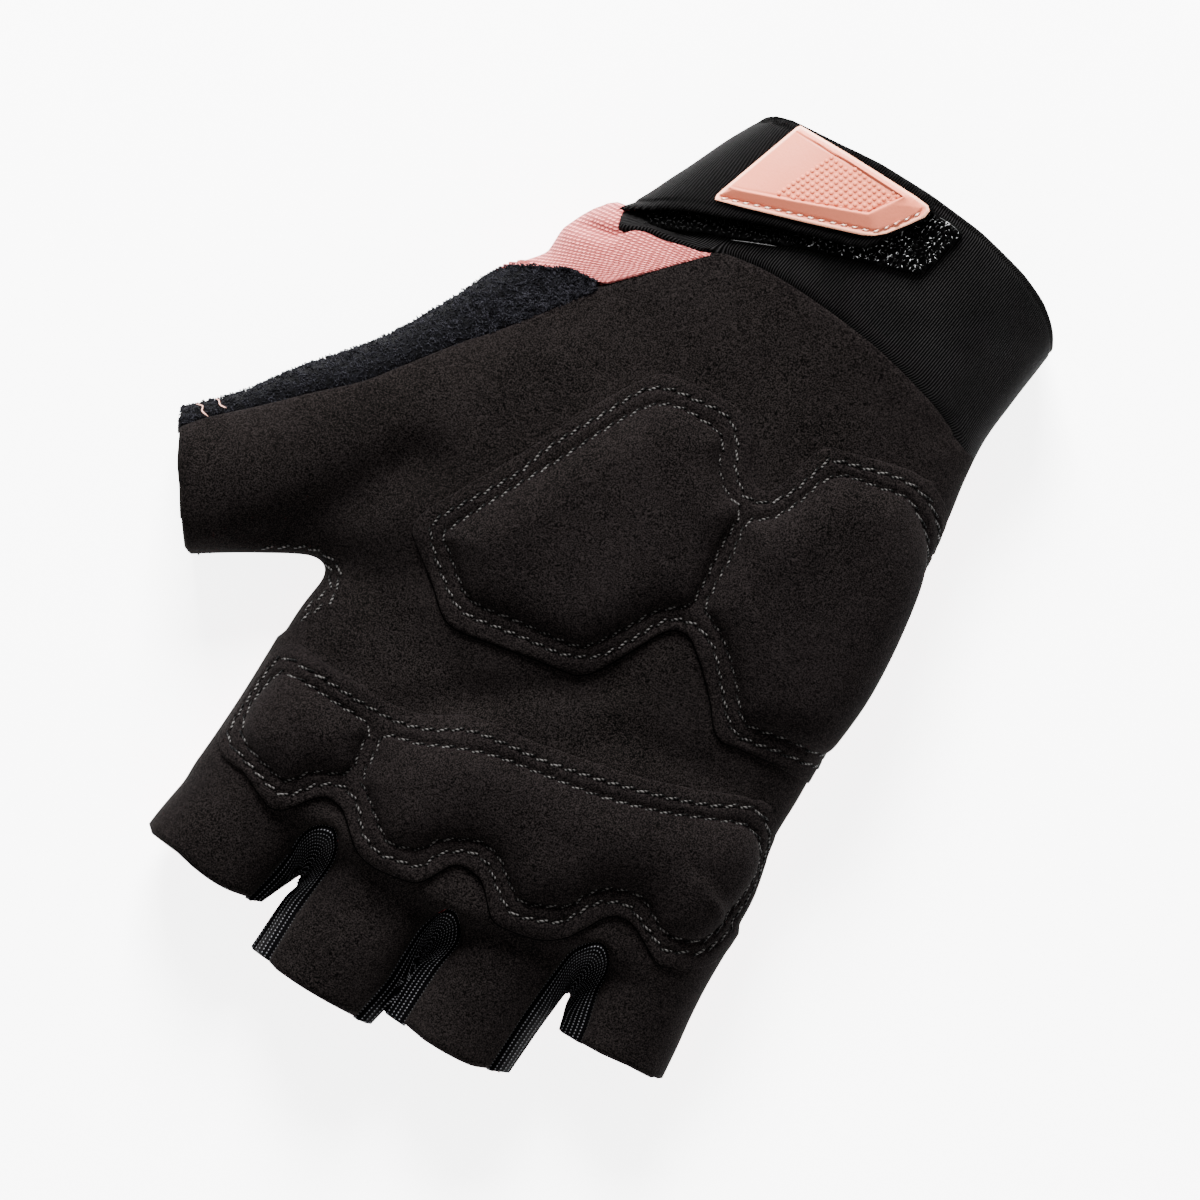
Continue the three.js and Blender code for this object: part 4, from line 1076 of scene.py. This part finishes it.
# The rows of stitches that hold the heel cover: dark waxed thread, sewn through the cover and the palm along
# its edge and round each pad. Each stitch lies a little aslant in the groove that it pulls.
STITCH_PITCH, STITCH_LONG, STITCH_THREAD = 2.4, 2.7, 0.19
STITCH_SLANT = 0.24  # sideways, for a stitch's length
STITCH_STEPS = 12  # steps of the row for each stitch
STITCH_POINTS = 6
STITCH_DIP = 0.2
STITCH_STANDS = 0.85  # share of its thickness by which it stands out
STITCH_CLIMB = 0.15  # most that its ends lie over its middle
TWIST_ALONG, TWIST_ROUND = 0.0008, 0.0012  # a stripe of the thread's twist, bumped and painted pale as a highlight, along it and round it


def stitches(
    rows, level, closed=True, sides=(LITTLE_LINE, THUMB_LINE),
    pitch=STITCH_PITCH, long=STITCH_LONG, radius=STITCH_THREAD,
):
    """Stitches along rows laid flat: each dips at its ends and stands out between, aslant to the row."""
    t, paths = np.linspace(-1, 1, STITCH_POINTS), []
    for row in rows:
        line = curve(row, pitch / STITCH_STEPS, closed=closed)
        run = unit(np.gradient(line, axis=0))
        aslant = run + np.column_stack([-run[:, 1], run[:, 0]]) * STITCH_SLANT
        centre = np.linspace(0, len(line), len(line) // STITCH_STEPS, endpoint=False).astype(int)
        centre += 0 if closed else STITCH_STEPS // 2
        paths.append(line[centre][:, None] + aslant[centre][:, None] * (t * long / 2)[:, None])
    flat = np.vstack(paths).reshape(-1, 2)
    start, way = laid(flat, sides)
    lies = level(flat, way).reshape(-1, STITCH_POINTS)
    lies = np.minimum(lies, lies[:, 2:4].mean(1, keepdims=True) + STITCH_CLIMB)
    skin = reach(start, way, (lies + radius * STITCH_STANDS - STITCH_DIP * np.abs(t) ** 4).ravel())
    return threads(skin.reshape(-1, STITCH_POINTS, 3), radius, way.reshape(-1, STITCH_POINTS, 3)[:, 2])


def sewing_thread(name, dark, light, long):
    """Twisted thread: slanting pale stripes round it painted in as highlights, and painted shade at its ends where
    it goes into the cloth.
    """
    look = Look(name)
    u, v = look.laid_flat()
    # Painted light: the twist's pale stripes and bright flecks are painted highlights, and the dark ends of each
    # stitch are painted shade.
    twist = (u * (2 * np.pi / TWIST_ALONG) + v * (2 * np.pi / TWIST_ROUND)).math("SINE")
    painted_lit_middle = (u * (np.pi / (long * MM))).math("SINE").ramp(0.5, 0.8)
    fibre, patchy = look.noise(5200, 2), look.noise(260, 1)
    painted_glint = twist * 0.8 + (fibre + patchy * 2.2 - 1.15)
    return look.shade(
        Base_Color=(painted_lit_middle * painted_glint).between(dark, light), Normal=look.bumps(twist + fibre, 0.8, 0.00012),
        Roughness=0.6, Specular_IOR_Level=0.05,
    )


def sew_down(name, pads, rows):
    """The stitches in a cover's grooves: its outer rows, and one row round each pad."""
    def in_groove(flat, way):
        """The level of the stitches, on the cover's cloth."""
        return cover_level(flat, way, np.full(len(flat), COVER_THICK), pads, rows)
    piece(name, DARK_THREAD, "suede", *stitches(rows + pads, in_groove))


DARK_THREAD = sewing_thread("dark_thread", (0.0001, 0.0001, 0.0001), (0.058, 0.055, 0.053), STITCH_LONG)
# A rim of painted shadow along the heel cover's edges that face the fingers.
edge_shadow_rim("heel_edge_shadow_rim", HEEL_EDGE[HEEL_EDGE.index((18.8, 10.5)):])
sew_down("heel_stitches", heel_foam, [HEEL_OUTER_ROW])

# The knuckle cover: the same suede over one long foam pad below three fingers and a small one below the
# first finger. Its edge waves round the roots of the fingers.
KNUCKLE_WRIST_EDGE = [
    (-50.2, 15.9), (-47, 16.9), (-40, 20.1), (-30, 23.6), (-15, 27.4), (-4.5, 29.4), (1.5, 33), (6, 34.6),
    (14, 35), (22, 35.2),
]
KNUCKLE_FINGER_EDGE = [
    (22.2, 56.4), (20.8, 56.9), (16.3, 58.7), (14.6, 59.1), (12.9, 58.3), (11.7, 56.9), (10, 54.4), (8.5, 53),
    (6.9, 52.7), (5, 53), (3.8, 53.8), (2.1, 55.2), (0, 56.9), (-1.3, 57.6), (-3.3, 58), (-5.8, 57.9),
    (-10.8, 56.7), (-12.1, 55.6), (-13.1, 53.8), (-14.2, 51.7), (-15.4, 50.4), (-17.9, 50.1), (-20, 50.6),
    (-21.7, 51.9), (-23.3, 53.5), (-24.8, 54.7), (-26.7, 54.9), (-31.7, 53.8), (-34.2, 52.5), (-36.3, 50.6),
    (-37.9, 47.9), (-39.2, 45.4), (-40.4, 44), (-42.1, 43.2), (-44.2, 43.3), (-46.3, 44.2), (-50.4, 46.2),
    (-51.7, 46.2), (-53.6, 45.2),
]
KNUCKLE_TURN = [
    (15.9, 14), (17.5, 34), (20, 56), (24, 70), (36, 70), (39, 62), (41.3, 44), (43.5, 25), (45.1, 4),
]
KNUCKLE_THUMB_TURN = [(35.2, 20), (36.4, 34), (38.5, 54), (45, 60), (53, 58), (55, 46), (56.4, 24)]
KNUCKLE_OUTER_ROW = [
    (-57.2, 27.4), (-57, 33.8), (-56.2, 37.9), (-54.7, 41.5), (-52.9, 42.9), (-50.4, 43.9), (-45.8, 42.5),
    (-41.7, 41.3), (-38.1, 42.9), (-36.7, 44.6), (-35, 47.9), (-34, 49.4), (-29.2, 51.7), (-26.5, 52.2),
    (-23.3, 50.6), (-19.6, 48), (-17.5, 47.6), (-15.4, 48), (-12.1, 50.6), (-10.4, 54), (-6.7, 55.2),
    (-3.8, 55.8), (0, 54.5), (3.3, 51.2), (5.4, 50.3), (7.5, 50.3), (10.4, 52.1), (13.1, 55.6), (15, 56.5),
    (20, 55.6), (24.6, 54.2), (25.8, 53.3), (26.4, 51.7), (26.4, 45), (26, 40.4), (25, 38.1), (20.8, 37.4),
    (9.2, 37.1), (4.6, 36.5), (0, 34.8), (-5, 31.7), (-10.8, 30.3), (-17.5, 29.2), (-25.8, 27.1), (-31.7, 25.3),
    (-37.9, 23.2), (-45, 20.1), (-47.9, 18.3), (-50.8, 17.4), (-53.8, 19.1), (-55.2, 20.5), (-56.8, 24.9),
]
KNUCKLE_PAD = [
    (-55.3, 33.8), (-54.1, 39.6), (-52.1, 41), (-48.8, 41.5), (-44.2, 39.3), (-41.7, 39), (-37.9, 40.4),
    (-35.2, 43.3), (-34, 46), (-30.8, 48.3), (-27.1, 49.8), (-23.8, 48.3), (-20.4, 46), (-18.3, 45.5),
    (-15.8, 45.6), (-10.8, 48.8), (-8.8, 51.7), (-4.6, 53.4), (-2.5, 52.7), (0, 51), (2.9, 48.8), (4.6, 47.6),
    (5.4, 43), (5.6, 40), (4.6, 39.1), (0, 37.6), (-4.2, 35.4), (-10.8, 32.8), (-19.2, 31), (-28.8, 28.9),
    (-37.9, 25.8), (-46.3, 22), (-50.8, 20.3), (-53.9, 22), (-55.8, 25.8),
]
INDEX_PAD = [
    (7.5, 47.7), (12.1, 50.6), (14.8, 54), (17.5, 54.1), (23.3, 52.5), (25.2, 48.3), (24.6, 41.7), (23.3, 39.8),
    (15.4, 39.5), (8.6, 39.9), (7.8, 43),
]

knuckle_foam = [KNUCKLE_PAD, INDEX_PAD]
knuckle_turns = [(THUMB_LINE, KNUCKLE_THUMB_TURN), (LITTLE_LINE, KNUCKLE_TURN)]
cover(
    "knuckle_pads", "knuckle_cover", [KNUCKLE_WRIST_EDGE, KNUCKLE_FINGER_EDGE], knuckle_turns, knuckle_foam,
    [KNUCKLE_OUTER_ROW],
)
# A rim of painted shadow along the knuckle cover's edge towards the fingers.
edge_shadow_rim("knuckle_edge_shadow_rim", KNUCKLE_FINGER_EDGE)
sew_down("knuckle_stitches", knuckle_foam, [KNUCKLE_OUTER_ROW])

# The hems at the thumb's crotch: two rows of the same dark thread that hold the palm's folded edge down. They
# run close beside it, between the thumb and the first finger.
CROTCH_ROWS = [
    [
        (27.1, 31.6), (25.6, 28.3), (24.6, 26), (25, 24.5), (25.4, 22.8), (26.7, 21.1), (30, 20.6), (33.3, 21.6),
        (38.8, 25.3),
    ],
    [(27.5, 29.9), (26.7, 27.4), (26, 24.9), (26.7, 23.3), (27.9, 22), (29.2, 21.7)],
]
HEM_SINKS = 0.15


def in_hem(flat, way):
    """The level of the hem's stitches, pulled a little into the suede."""
    return np.full(len(flat), -HEM_SINKS)


piece("crotch_stitches", DARK_THREAD, "suede", *stitches(CROTCH_ROWS, in_hem, closed=False, sides=()))

# The hook patch: a strip of black nylon hook tape, woven flat with a thicker rim and sewn on the cuff. It shows
# past the strap's tip and along its edge.
TAPE_THICK = 1.0
TAPE_RIM, TAPE_RIM_IN, TAPE_RIM_HALF = 0.18, 0.55, 0.3
TAPE_EDGE, TAPE_EDGE_HALF = 0.3, 0.35
PATCH_EDGE = [
    (16.3, -50.9), (12.1, -52.5), (8, -54.5), (5.2, -55.9), (2.1, -57.1), (-0.5, -58.3), (-4.5, -60.2),
    (-8.2, -61.8), (-11.5, -63), (-16, -64.7), (-21.6, -66.8), (-24.6, -67.8), (-25.8, -68.5), (-26.6, -70.3),
    (-27.4, -74), (-28.2, -77.2), (-27.6, -78), (-24, -78.2), (-18, -78.2), (-6, -74), (4, -67), (12, -59),
    (16, -53.4),
]
tape_outline = curve(PATCH_EDGE, 0.4, closed=True)
start, way, quads, flat = wrapped(tape_outline, 0.6)
off_edge = nearest(tape_outline, flat)[1]
tape_top = TAPE_THICK + TAPE_RIM * bell(off_edge - TAPE_RIM_IN, TAPE_RIM_HALF)
tape_top -= TAPE_EDGE * bell(off_edge, TAPE_EDGE_HALF)


def hook_nylon(name, dark, light, rough, shine, shaded_x, lit_x):
    """Black nylon with painted glints: pale in small clumps as painted highlights, fading to painted shade away
    from the strip's end, where the strap shades it.
    """
    look = Look(name)
    # Painted highlights in pale clumps, and painted shade that darkens them away from the strip's end.
    clumps = look.noise(1700, 3).ramp(0.45, 0.6) * look.noise(620, 1).ramp(0.44, 0.58)
    painted_glints = clumps * look.place.part(0).ramp(shaded_x, lit_x)
    broad = look.noise(260, 2)
    return look.shade(
        Base_Color=painted_glints.between(dark, light), Normal=look.bumps(painted_glints + broad, 0.6, 0.00015),
        Roughness=broad.ramp(0.35, 0.65, rough, rough * 1.7), Specular_IOR_Level=shine,
    )


TAPE_WEAVE = hook_nylon("hook_tape_weave", (0.0002, 0.0002, 0.0002), (0.002, 0.002, 0.002), 0.7, 0.02, 0.01, 0.0)
WIRE_NYLON = hook_nylon("hook_nylon", (0.0008, 0.0008, 0.0008), (0.46, 0.465, 0.47), 0.4, 0.11, -0.006, -0.018)
RAIL_HIGHLIGHT_NYLON = hook_nylon("tape_edge_highlight", (0.015, 0.015, 0.015), (0.35, 0.35, 0.36), 0.35, 0.3, -0.015, -0.022)
piece("hook_tape", TAPE_WEAVE, "hook_tape", *slab(start, way, quads, tape_top, 0.0), flat, ["hook_patch"])

# The tape's welded edge: a thin ridge of melted nylon where the strip was cut. It is drawn only in two short runs,
# at the strip's tip and beside the strap, and painted pale there as a highlight.
RAIL_POINTS = 16
RAIL_WIRE, RAIL_HIGH = 0.07, 0.05
tip_rail = curve([(-23.6, -77.9), (-25.8, -77.9), (-27.7, -77.6)], 0.25)[:RAIL_POINTS]
side_rail = curve([(2.4, -56.8), (-1.4, -58.6), (-5, -60.2)], 0.25)[:2 * RAIL_POINTS:2]
rails = reach(*laid(np.vstack([tip_rail, side_rail])), TAPE_THICK + RAIL_HIGH).reshape(2, -1, 3)
piece("hook_tape_edge_highlight", RAIL_HIGHLIGHT_NYLON, "hook_tape", *threads(rails, RAIL_WIRE, UP))

# The hooks: short stiff nylon wires, woven into the tape in rows and bent. Each rises, leans over and turns
# down at its tip, one way or the other.
HOOK_PITCH, HOOK_TALL, HOOK_WIRE = 0.7, 0.85, 0.09
HOOK_TURN = np.radians(58)
HOOK_POINTS = 6
HOOK_ROOT = 0.1  # how deep in the tape it starts
rows = [np.arange(low, high, HOOK_PITCH) for low, high in zip(tape_outline.min(0), tape_outline.max(0))]
spots = places(*rows)
spots[:, 1] += HOOK_PITCH / 2 * (np.arange(len(spots)) // len(rows[1]) % 2)  # every other row half a step on
spots += dice.normal(0, 0.2, spots.shape)
spots = spots[inside(tape_outline, spots) & (nearest(tape_outline, spots)[1] > 0.4)]
facing = dice.choice([-1.0, 1.0], len(spots)) * HOOK_TURN + dice.normal(0, 0.5, len(spots))
lean = np.stack([np.cos(facing), np.sin(facing)], -1)
t = np.linspace(0, 1, HOOK_POINTS)
leans_over, rises = 0.5 * t**2 - 0.22, np.sin(t * 2.35)
tall = dice.uniform(0.8, 1.1, (len(spots), 1)) * HOOK_TALL
hook_flat = (spots[:, None] + lean[:, None] * leans_over[:, None]).reshape(-1, 2)
wires = reach(*laid(hook_flat), (TAPE_THICK - HOOK_ROOT + tall * rises).ravel()).reshape(-1, HOOK_POINTS, 3)
across = np.column_stack([-lean[:, 1], lean[:, 0], np.zeros(len(lean))])
piece("hooks", WIRE_NYLON, "hook_tape", *threads(wires, HOOK_WIRE, across, 4))

# The strap: a double tab of the cuff's black knit, bound at its edge, that comes round the thumb's side of
# the wrist over the cuff and hooks down on the patch.
STRAP_TOP, STRAP_UNDER = 3.4, 1.75
STRAP_HEM, STRAP_HEM_DEEP, STRAP_HEM_HALF = 1.5, 0.35, 0.3
STRAP_EDGE_DEEP, STRAP_EDGE_HALF = 0.55, 0.45
STRAP_BEND = 12.5
STRAP_STEP, STRAP_ROWS = 0.55, 34
STRAP_TURN = [(-79.3, 26), (-78.6, 50), (-77, 84), (-75, 104), (-72, 112), (-53, 112)]
STRAP_LINE = [(-3.5, -79.1), (3, -72.1), (8.4, -65.4), (12.6, -59.2), (15.6, -54)]
STRAP_EDGE = [
    (15.6, -54), (14, -55.1), (12.3, -56.1), (10.6, -57), (7.8, -58.2), (4.9, -59.3), (1.5, -60.8), (-2, -62.2),
    (-6, -63.6), (-12.7, -65.9), (-15.3, -66.8), (-16.7, -67.8), (-18.3, -70.4), (-20.2, -73.4), (-21.6, -76.1),
    (-22.1, -77.8), (-21.9, -79), (-20.6, -79.7), (-10, -79.8), (-3.5, -79.1),
]
strap_outline = np.vstack([curve(STRAP_EDGE, 0.4)[:-1], curve(STRAP_LINE, 0.4)[:-1]])
strap_side = (STRAP_LINE, STRAP_TURN, (0.995, 0.1), (0.86, 0.51))
start, way, quads, flat = wrapped(strap_outline, STRAP_STEP, [strap_side], rows=STRAP_ROWS, bend=STRAP_BEND)
strap_rim = flat[np.unique(rim_of(quads))][::2]
off_edge = np.min([np.linalg.norm(flat - spot, axis=1) for spot in strap_rim], axis=0)
hugging = (way[:, 0] ** 2 + way[:, 1] ** 2) * (0.8 + 1.4 * rise(start[:, 1], -63, -54))  # at the wrist's side
hem = STRAP_HEM_DEEP * bell(off_edge - STRAP_HEM, STRAP_HEM_HALF)
hem += STRAP_EDGE_DEEP * bell(off_edge, STRAP_EDGE_HALF)
# The cuff's knit with its pale colour lowered: painted shade over the whole strap.
STRAP_KNIT_SHADED = fine_rib("strap_knit", (0.0002, 0.00018, 0.00018), (0.0052, 0.0048, 0.0049), -0.16)
shell = slab(start, way, quads, STRAP_TOP - hugging - hem, STRAP_UNDER - hugging)
piece("strap_knit", STRAP_KNIT_SHADED, "rib_knit", *shell, flat, ["strap"])

# The closure tab: pale pink moulded rubber, a raised body with bevelled sides and a field of small dots,
# sewn to the strap through a thin flange.
TAB_STEP = 0.16
FLANGE_TOP, BODY_TOP, FIELD_DEEP = 4.15, 5.4, 0.4
BEVEL = 1.12  # the body's slope ends a little before the field's edge
FLANGE_GROOVE, FLANGE_GROOVE_IN, FLANGE_GROOVE_HALF = 0.38, 0.3, 0.4
FIELD_GROOVE, FIELD_GROOVE_IN, FIELD_GROOVE_HALF = 0.25, 0.16, 0.14
FIELD_STEP = 0.12
TAB_EDGE_DEEP, TAB_EDGE_HALF = 0.3, 0.25
TAB_OUTLINE = [
    (8, -60.8), (8.2, -61.6), (7.9, -62.8), (3.4, -77.6), (3, -78.2), (-6, -78.5), (-18.6, -78.6), (-21, -78.4),
    (-21.7, -77.8), (-21.6, -76.6), (-20, -74.1), (-17.9, -71.1), (-16.4, -69.7), (-14.6, -68.7),
    (-12.2, -67.8), (-6, -65.5), (-1.4, -63.9), (3.2, -62.3),
]
TAB_BODY = [
    (7.9, -61.9), (7.85, -62.8), (3.3, -77.6), (2.9, -78.1), (-6.9, -78.3), (-18.8, -78.3), (-20.4, -77.6),
    (-20.2, -76.4), (-18.4, -73.4), (-16.5, -70.9), (-15.4, -70.3), (-12.2, -69.1), (-8.2, -67.6),
    (-0.7, -64.9), (4, -63.2),
]
TAB_FIELD = [
    (7.2, -63.7), (3.1, -77.1), (-6.9, -77.4), (-16.9, -77.4), (-13.6, -72.1), (-3.6, -67.9), (5.1, -64.4),
]


def corners(points):
    """A closed outline with its corners kept, in equal short steps."""
    p = np.array(points, float)
    bits = []
    for a, b in zip(p, np.roll(p, -1, axis=0)):
        n = max(int(np.linalg.norm(b - a) / 0.3), 1)
        bits.append(a + (b - a) * (np.arange(n) / n)[:, None])
    return np.vstack(bits)


tab_outline, tab_body, tab_field = corners(TAB_OUTLINE), corners(TAB_BODY), corners(TAB_FIELD)


def tab_level(flat):
    """Height of the tab: a flange, an even slope from the body's foot to the field's edge, and a step down."""
    off_body, off_field = nearest(tab_body, flat)[1], nearest(tab_field, flat)[1]
    slope = np.clip(off_body / np.maximum(off_body + off_field, 1e-6) * BEVEL, 0, 1)
    body = FLANGE_TOP + (BODY_TOP - FLANGE_TOP) * slope
    flange = FLANGE_TOP - FLANGE_GROOVE * bell(off_body - FLANGE_GROOVE_IN, FLANGE_GROOVE_HALF)
    groove = FIELD_GROOVE * bell(off_field - FIELD_GROOVE_IN, FIELD_GROOVE_HALF)
    fades = 0.25 + 0.75 * rise(flat[:, 0], 4, -5)
    field = BODY_TOP - fades * (FIELD_DEEP * rise(off_field, 0, FIELD_STEP) + groove)
    level = np.where(inside(tab_field, flat), field, np.where(inside(tab_body, flat), body, flange))
    return level - TAB_EDGE_DEEP * bell(nearest(tab_outline, flat)[1], TAB_EDGE_HALF)


def moulded_rubber(name, dark, light, edge):
    """Soft rubber: a matt shine and a fine moulded grain, paler where the raised attribute says it is thin."""
    look = Look(name)
    grain, broad = look.noise(2400, 3), look.noise(90, 3)
    raised = look.place.node("Attribute", "Fac", {"attribute_name": "raised"}, {})
    return look.shade(
        Base_Color=raised.between(edge, (grain * 0.35 + broad * 0.65).between(dark, light)),
        Normal=look.bumps(grain, 0.25, 0.0001), Roughness=broad.ramp(0.3, 0.7, 0.42, 0.58),
        Specular_IOR_Level=0.25,
    )


def mark_raised(made, raised):
    """Writes the attribute that says where the rubber is thick, for both of its layers."""
    values = np.resize(raised, len(made.data.vertices)).astype(np.float32)
    made.data.attributes.new("raised", "FLOAT", "POINT").data.foreach_set("value", values)


PINK_RUBBER = moulded_rubber("pink_rubber", (0.445, 0.108, 0.058), (0.59, 0.157, 0.087), (0.72, 0.31, 0.195))
start, way, quads, flat = wrapped(tab_outline, TAB_STEP)
shell = slab(start, way, quads, tab_level(flat), STRAP_TOP - 0.1)
made = piece("closure_tab_rubber", PINK_RUBBER, "moulded_rubber", *shell, flat, ["closure_tab"])
mark_raised(made, rise(nearest(tab_outline, flat)[1], 0.35, 0.55))

# The tab's dots: low round buttons in slanting rows on its sunk field, moulded in one with the tab from the
# same pink rubber.
DOT_RADIUS = 0.37
DOT_SIDES = 10
DOT_PROFILE = np.array([(1.1, -0.06), (1.0, 0.05), (0.82, 0.15), (0.45, 0.23)])  # share of the radius, height
DOT_FIRST = (-6, -71.84)
DOT_ROW, DOT_NEXT_ROW = (-1.32, -0.75), (-0.965, 0.095)
DOT_REGION = [(0.3, -66.6), (-3.3, -76.8), (-16.6, -77.2), (-13.8, -72.3)]
steps = np.arange(-24, 25)
dots = np.array(DOT_FIRST) + places(steps, steps) @ np.array([DOT_NEXT_ROW, DOT_ROW])
dots = dots[inside(np.array(DOT_REGION, float), dots)]
around = np.arange(DOT_SIDES) / DOT_SIDES * 2 * np.pi
circle = np.stack([np.cos(around), np.sin(around)], -1) * DOT_RADIUS
dot_flat = (dots[:, None, None] + circle * DOT_PROFILE[:, :1, None]).reshape(-1, 2)
dot_level = np.repeat(tab_level(dots)[:, None] + DOT_PROFILE[:, 1], DOT_SIDES)
dot_faces = tubes_of(len(dots), len(DOT_PROFILE), DOT_SIDES)[:, ::-1]
dot_points = reach(*laid(dot_flat), dot_level)
made = piece("closure_tab_dots", PINK_RUBBER, "moulded_rubber", dot_points, dot_faces, dot_flat)
mark_raised(made, [1.0])

# The tab's stitches: one row of short ones in pale thread along the flange, sewn through the rubber and the
# strap beneath it.
TAB_PITCH, TAB_STITCH_LONG, TAB_THREAD = 1.75, 1.35, 0.16
TAB_STITCHES = [
    (7.6, -61.5), (3, -63.2), (-0.9, -64.7), (-8.3, -67.3), (-13.6, -69.4), (-16, -70.3), (-18.2, -73.2),
    (-20.8, -77),
]


def on_flange(flat, way):
    """The level of the stitches that lie on the flange."""
    return tab_level(flat) + 0.02


PALE_THREAD = sewing_thread("pale_thread", (0.5, 0.2, 0.14), (0.9, 0.66, 0.56), TAB_STITCH_LONG)
sewn_flange = stitches([TAB_STITCHES], on_flange, False, (), TAB_PITCH, TAB_STITCH_LONG, TAB_THREAD)
piece("closure_tab_stitches", PALE_THREAD, "moulded_rubber", *sewn_flange)

# The two tacks on the terry at the thumb's mouth: short crooked runs of pale pink thread that dip into the
# cloth at both ends.
TACKS = [
    [(60, 11.6), (58.8, 11.3), (58.5, 12), (57.1, 12.2)], [(57.9, 9.2), (57.2, 9.1), (56.6, 9.6), (55.4, 9.5)],
]
TACK_POINTS = 12
TACK_RADIUS, TACK_HIGH, TACK_DIP = 0.11, 0.95, 0.6
TACK_THREAD = sewing_thread("tack_thread", (0.55, 0.3, 0.24), (0.95, 0.7, 0.6), 60)
tack_level = TACK_HIGH - TACK_DIP * np.abs(np.linspace(-1, 1, TACK_POINTS)) ** 6
tacks = []
for tack in TACKS:
    line = curve(tack, 0.25)
    line = resampled(line, np.linspace(0, 1, len(line)), np.linspace(0, 1, TACK_POINTS))
    tacks.append(reach(*laid(line), tack_level))
piece("thumb_tacks", TACK_THREAD, "terry", *threads(np.array(tacks), TACK_RADIUS, UP))

# The table, the light and the camera: a pale lit table, one broad soft light from beyond the wrist, and the
# camera straight above.
TABLE_Z = -0.0006
TABLE_PLAN = [(-3, -3), (3, -3), (3, 3), (-3, 3)]
TABLE_GLOW = 5.0
WORLD_LIGHT = 0.85
table_mesh = bpy.data.meshes.new("table")
table_mesh.from_pydata([(x, y, TABLE_Z) for x, y in TABLE_PLAN], [], [(0, 1, 2, 3)])
table = bpy.data.objects.new("table", table_mesh)
bpy.context.scene.collection.objects.link(table)
look = Look("pale_paper")
flecks = look.noise(900, 2).between((0.92, 0.92, 0.92), (0.95, 0.95, 0.95))
table_mesh.materials.append(look.shade(
    Base_Color=flecks, Roughness=0.9, Specular_IOR_Level=0.1,
    Emission_Color=(1, 1, 1), Emission_Strength=TABLE_GLOW,
))

world = bpy.data.worlds.new("studio")
world.use_nodes = True
world.node_tree.nodes["Background"].inputs["Color"].default_value = (1, 1, 1, 1)
world.node_tree.nodes["Background"].inputs["Strength"].default_value = WORLD_LIGHT
bpy.context.scene.world = world


def soft_light(name, place, size, power):
    """A square light that faces the glove."""
    light = bpy.data.lights.new(name, "AREA")
    light.size, light.energy = size, power
    lamp = bpy.data.objects.new(name, light)
    lamp.location = place
    lamp.rotation_euler = (-Vector(place)).to_track_quat("-Z", "Y").to_euler()
    bpy.context.scene.collection.objects.link(lamp)


soft_light("over_the_wrist", (0.5, -0.77, 0.62), 0.45, 84)
soft_light("over_the_fingers", (-0.5, 0.6, 0.9), 0.9, 4)

CAMERA_HEIGHT = 3.0
SHARP_HEIGHT = 0.015  # the frame is as wide as FRAME_WIDTH at this height
FRAME_WIDTH = 0.192
SENSOR = 36
camera = bpy.data.objects.new("camera", bpy.data.cameras.new("camera"))
camera.location = (-0.0114, 0.0027, CAMERA_HEIGHT)
camera.rotation_euler = (0, 0, np.radians(213))
camera.data.sensor_width = SENSOR
camera.data.lens = SENSOR * (CAMERA_HEIGHT - SHARP_HEIGHT) / FRAME_WIDTH
bpy.context.scene.collection.objects.link(camera)
bpy.context.scene.camera = camera
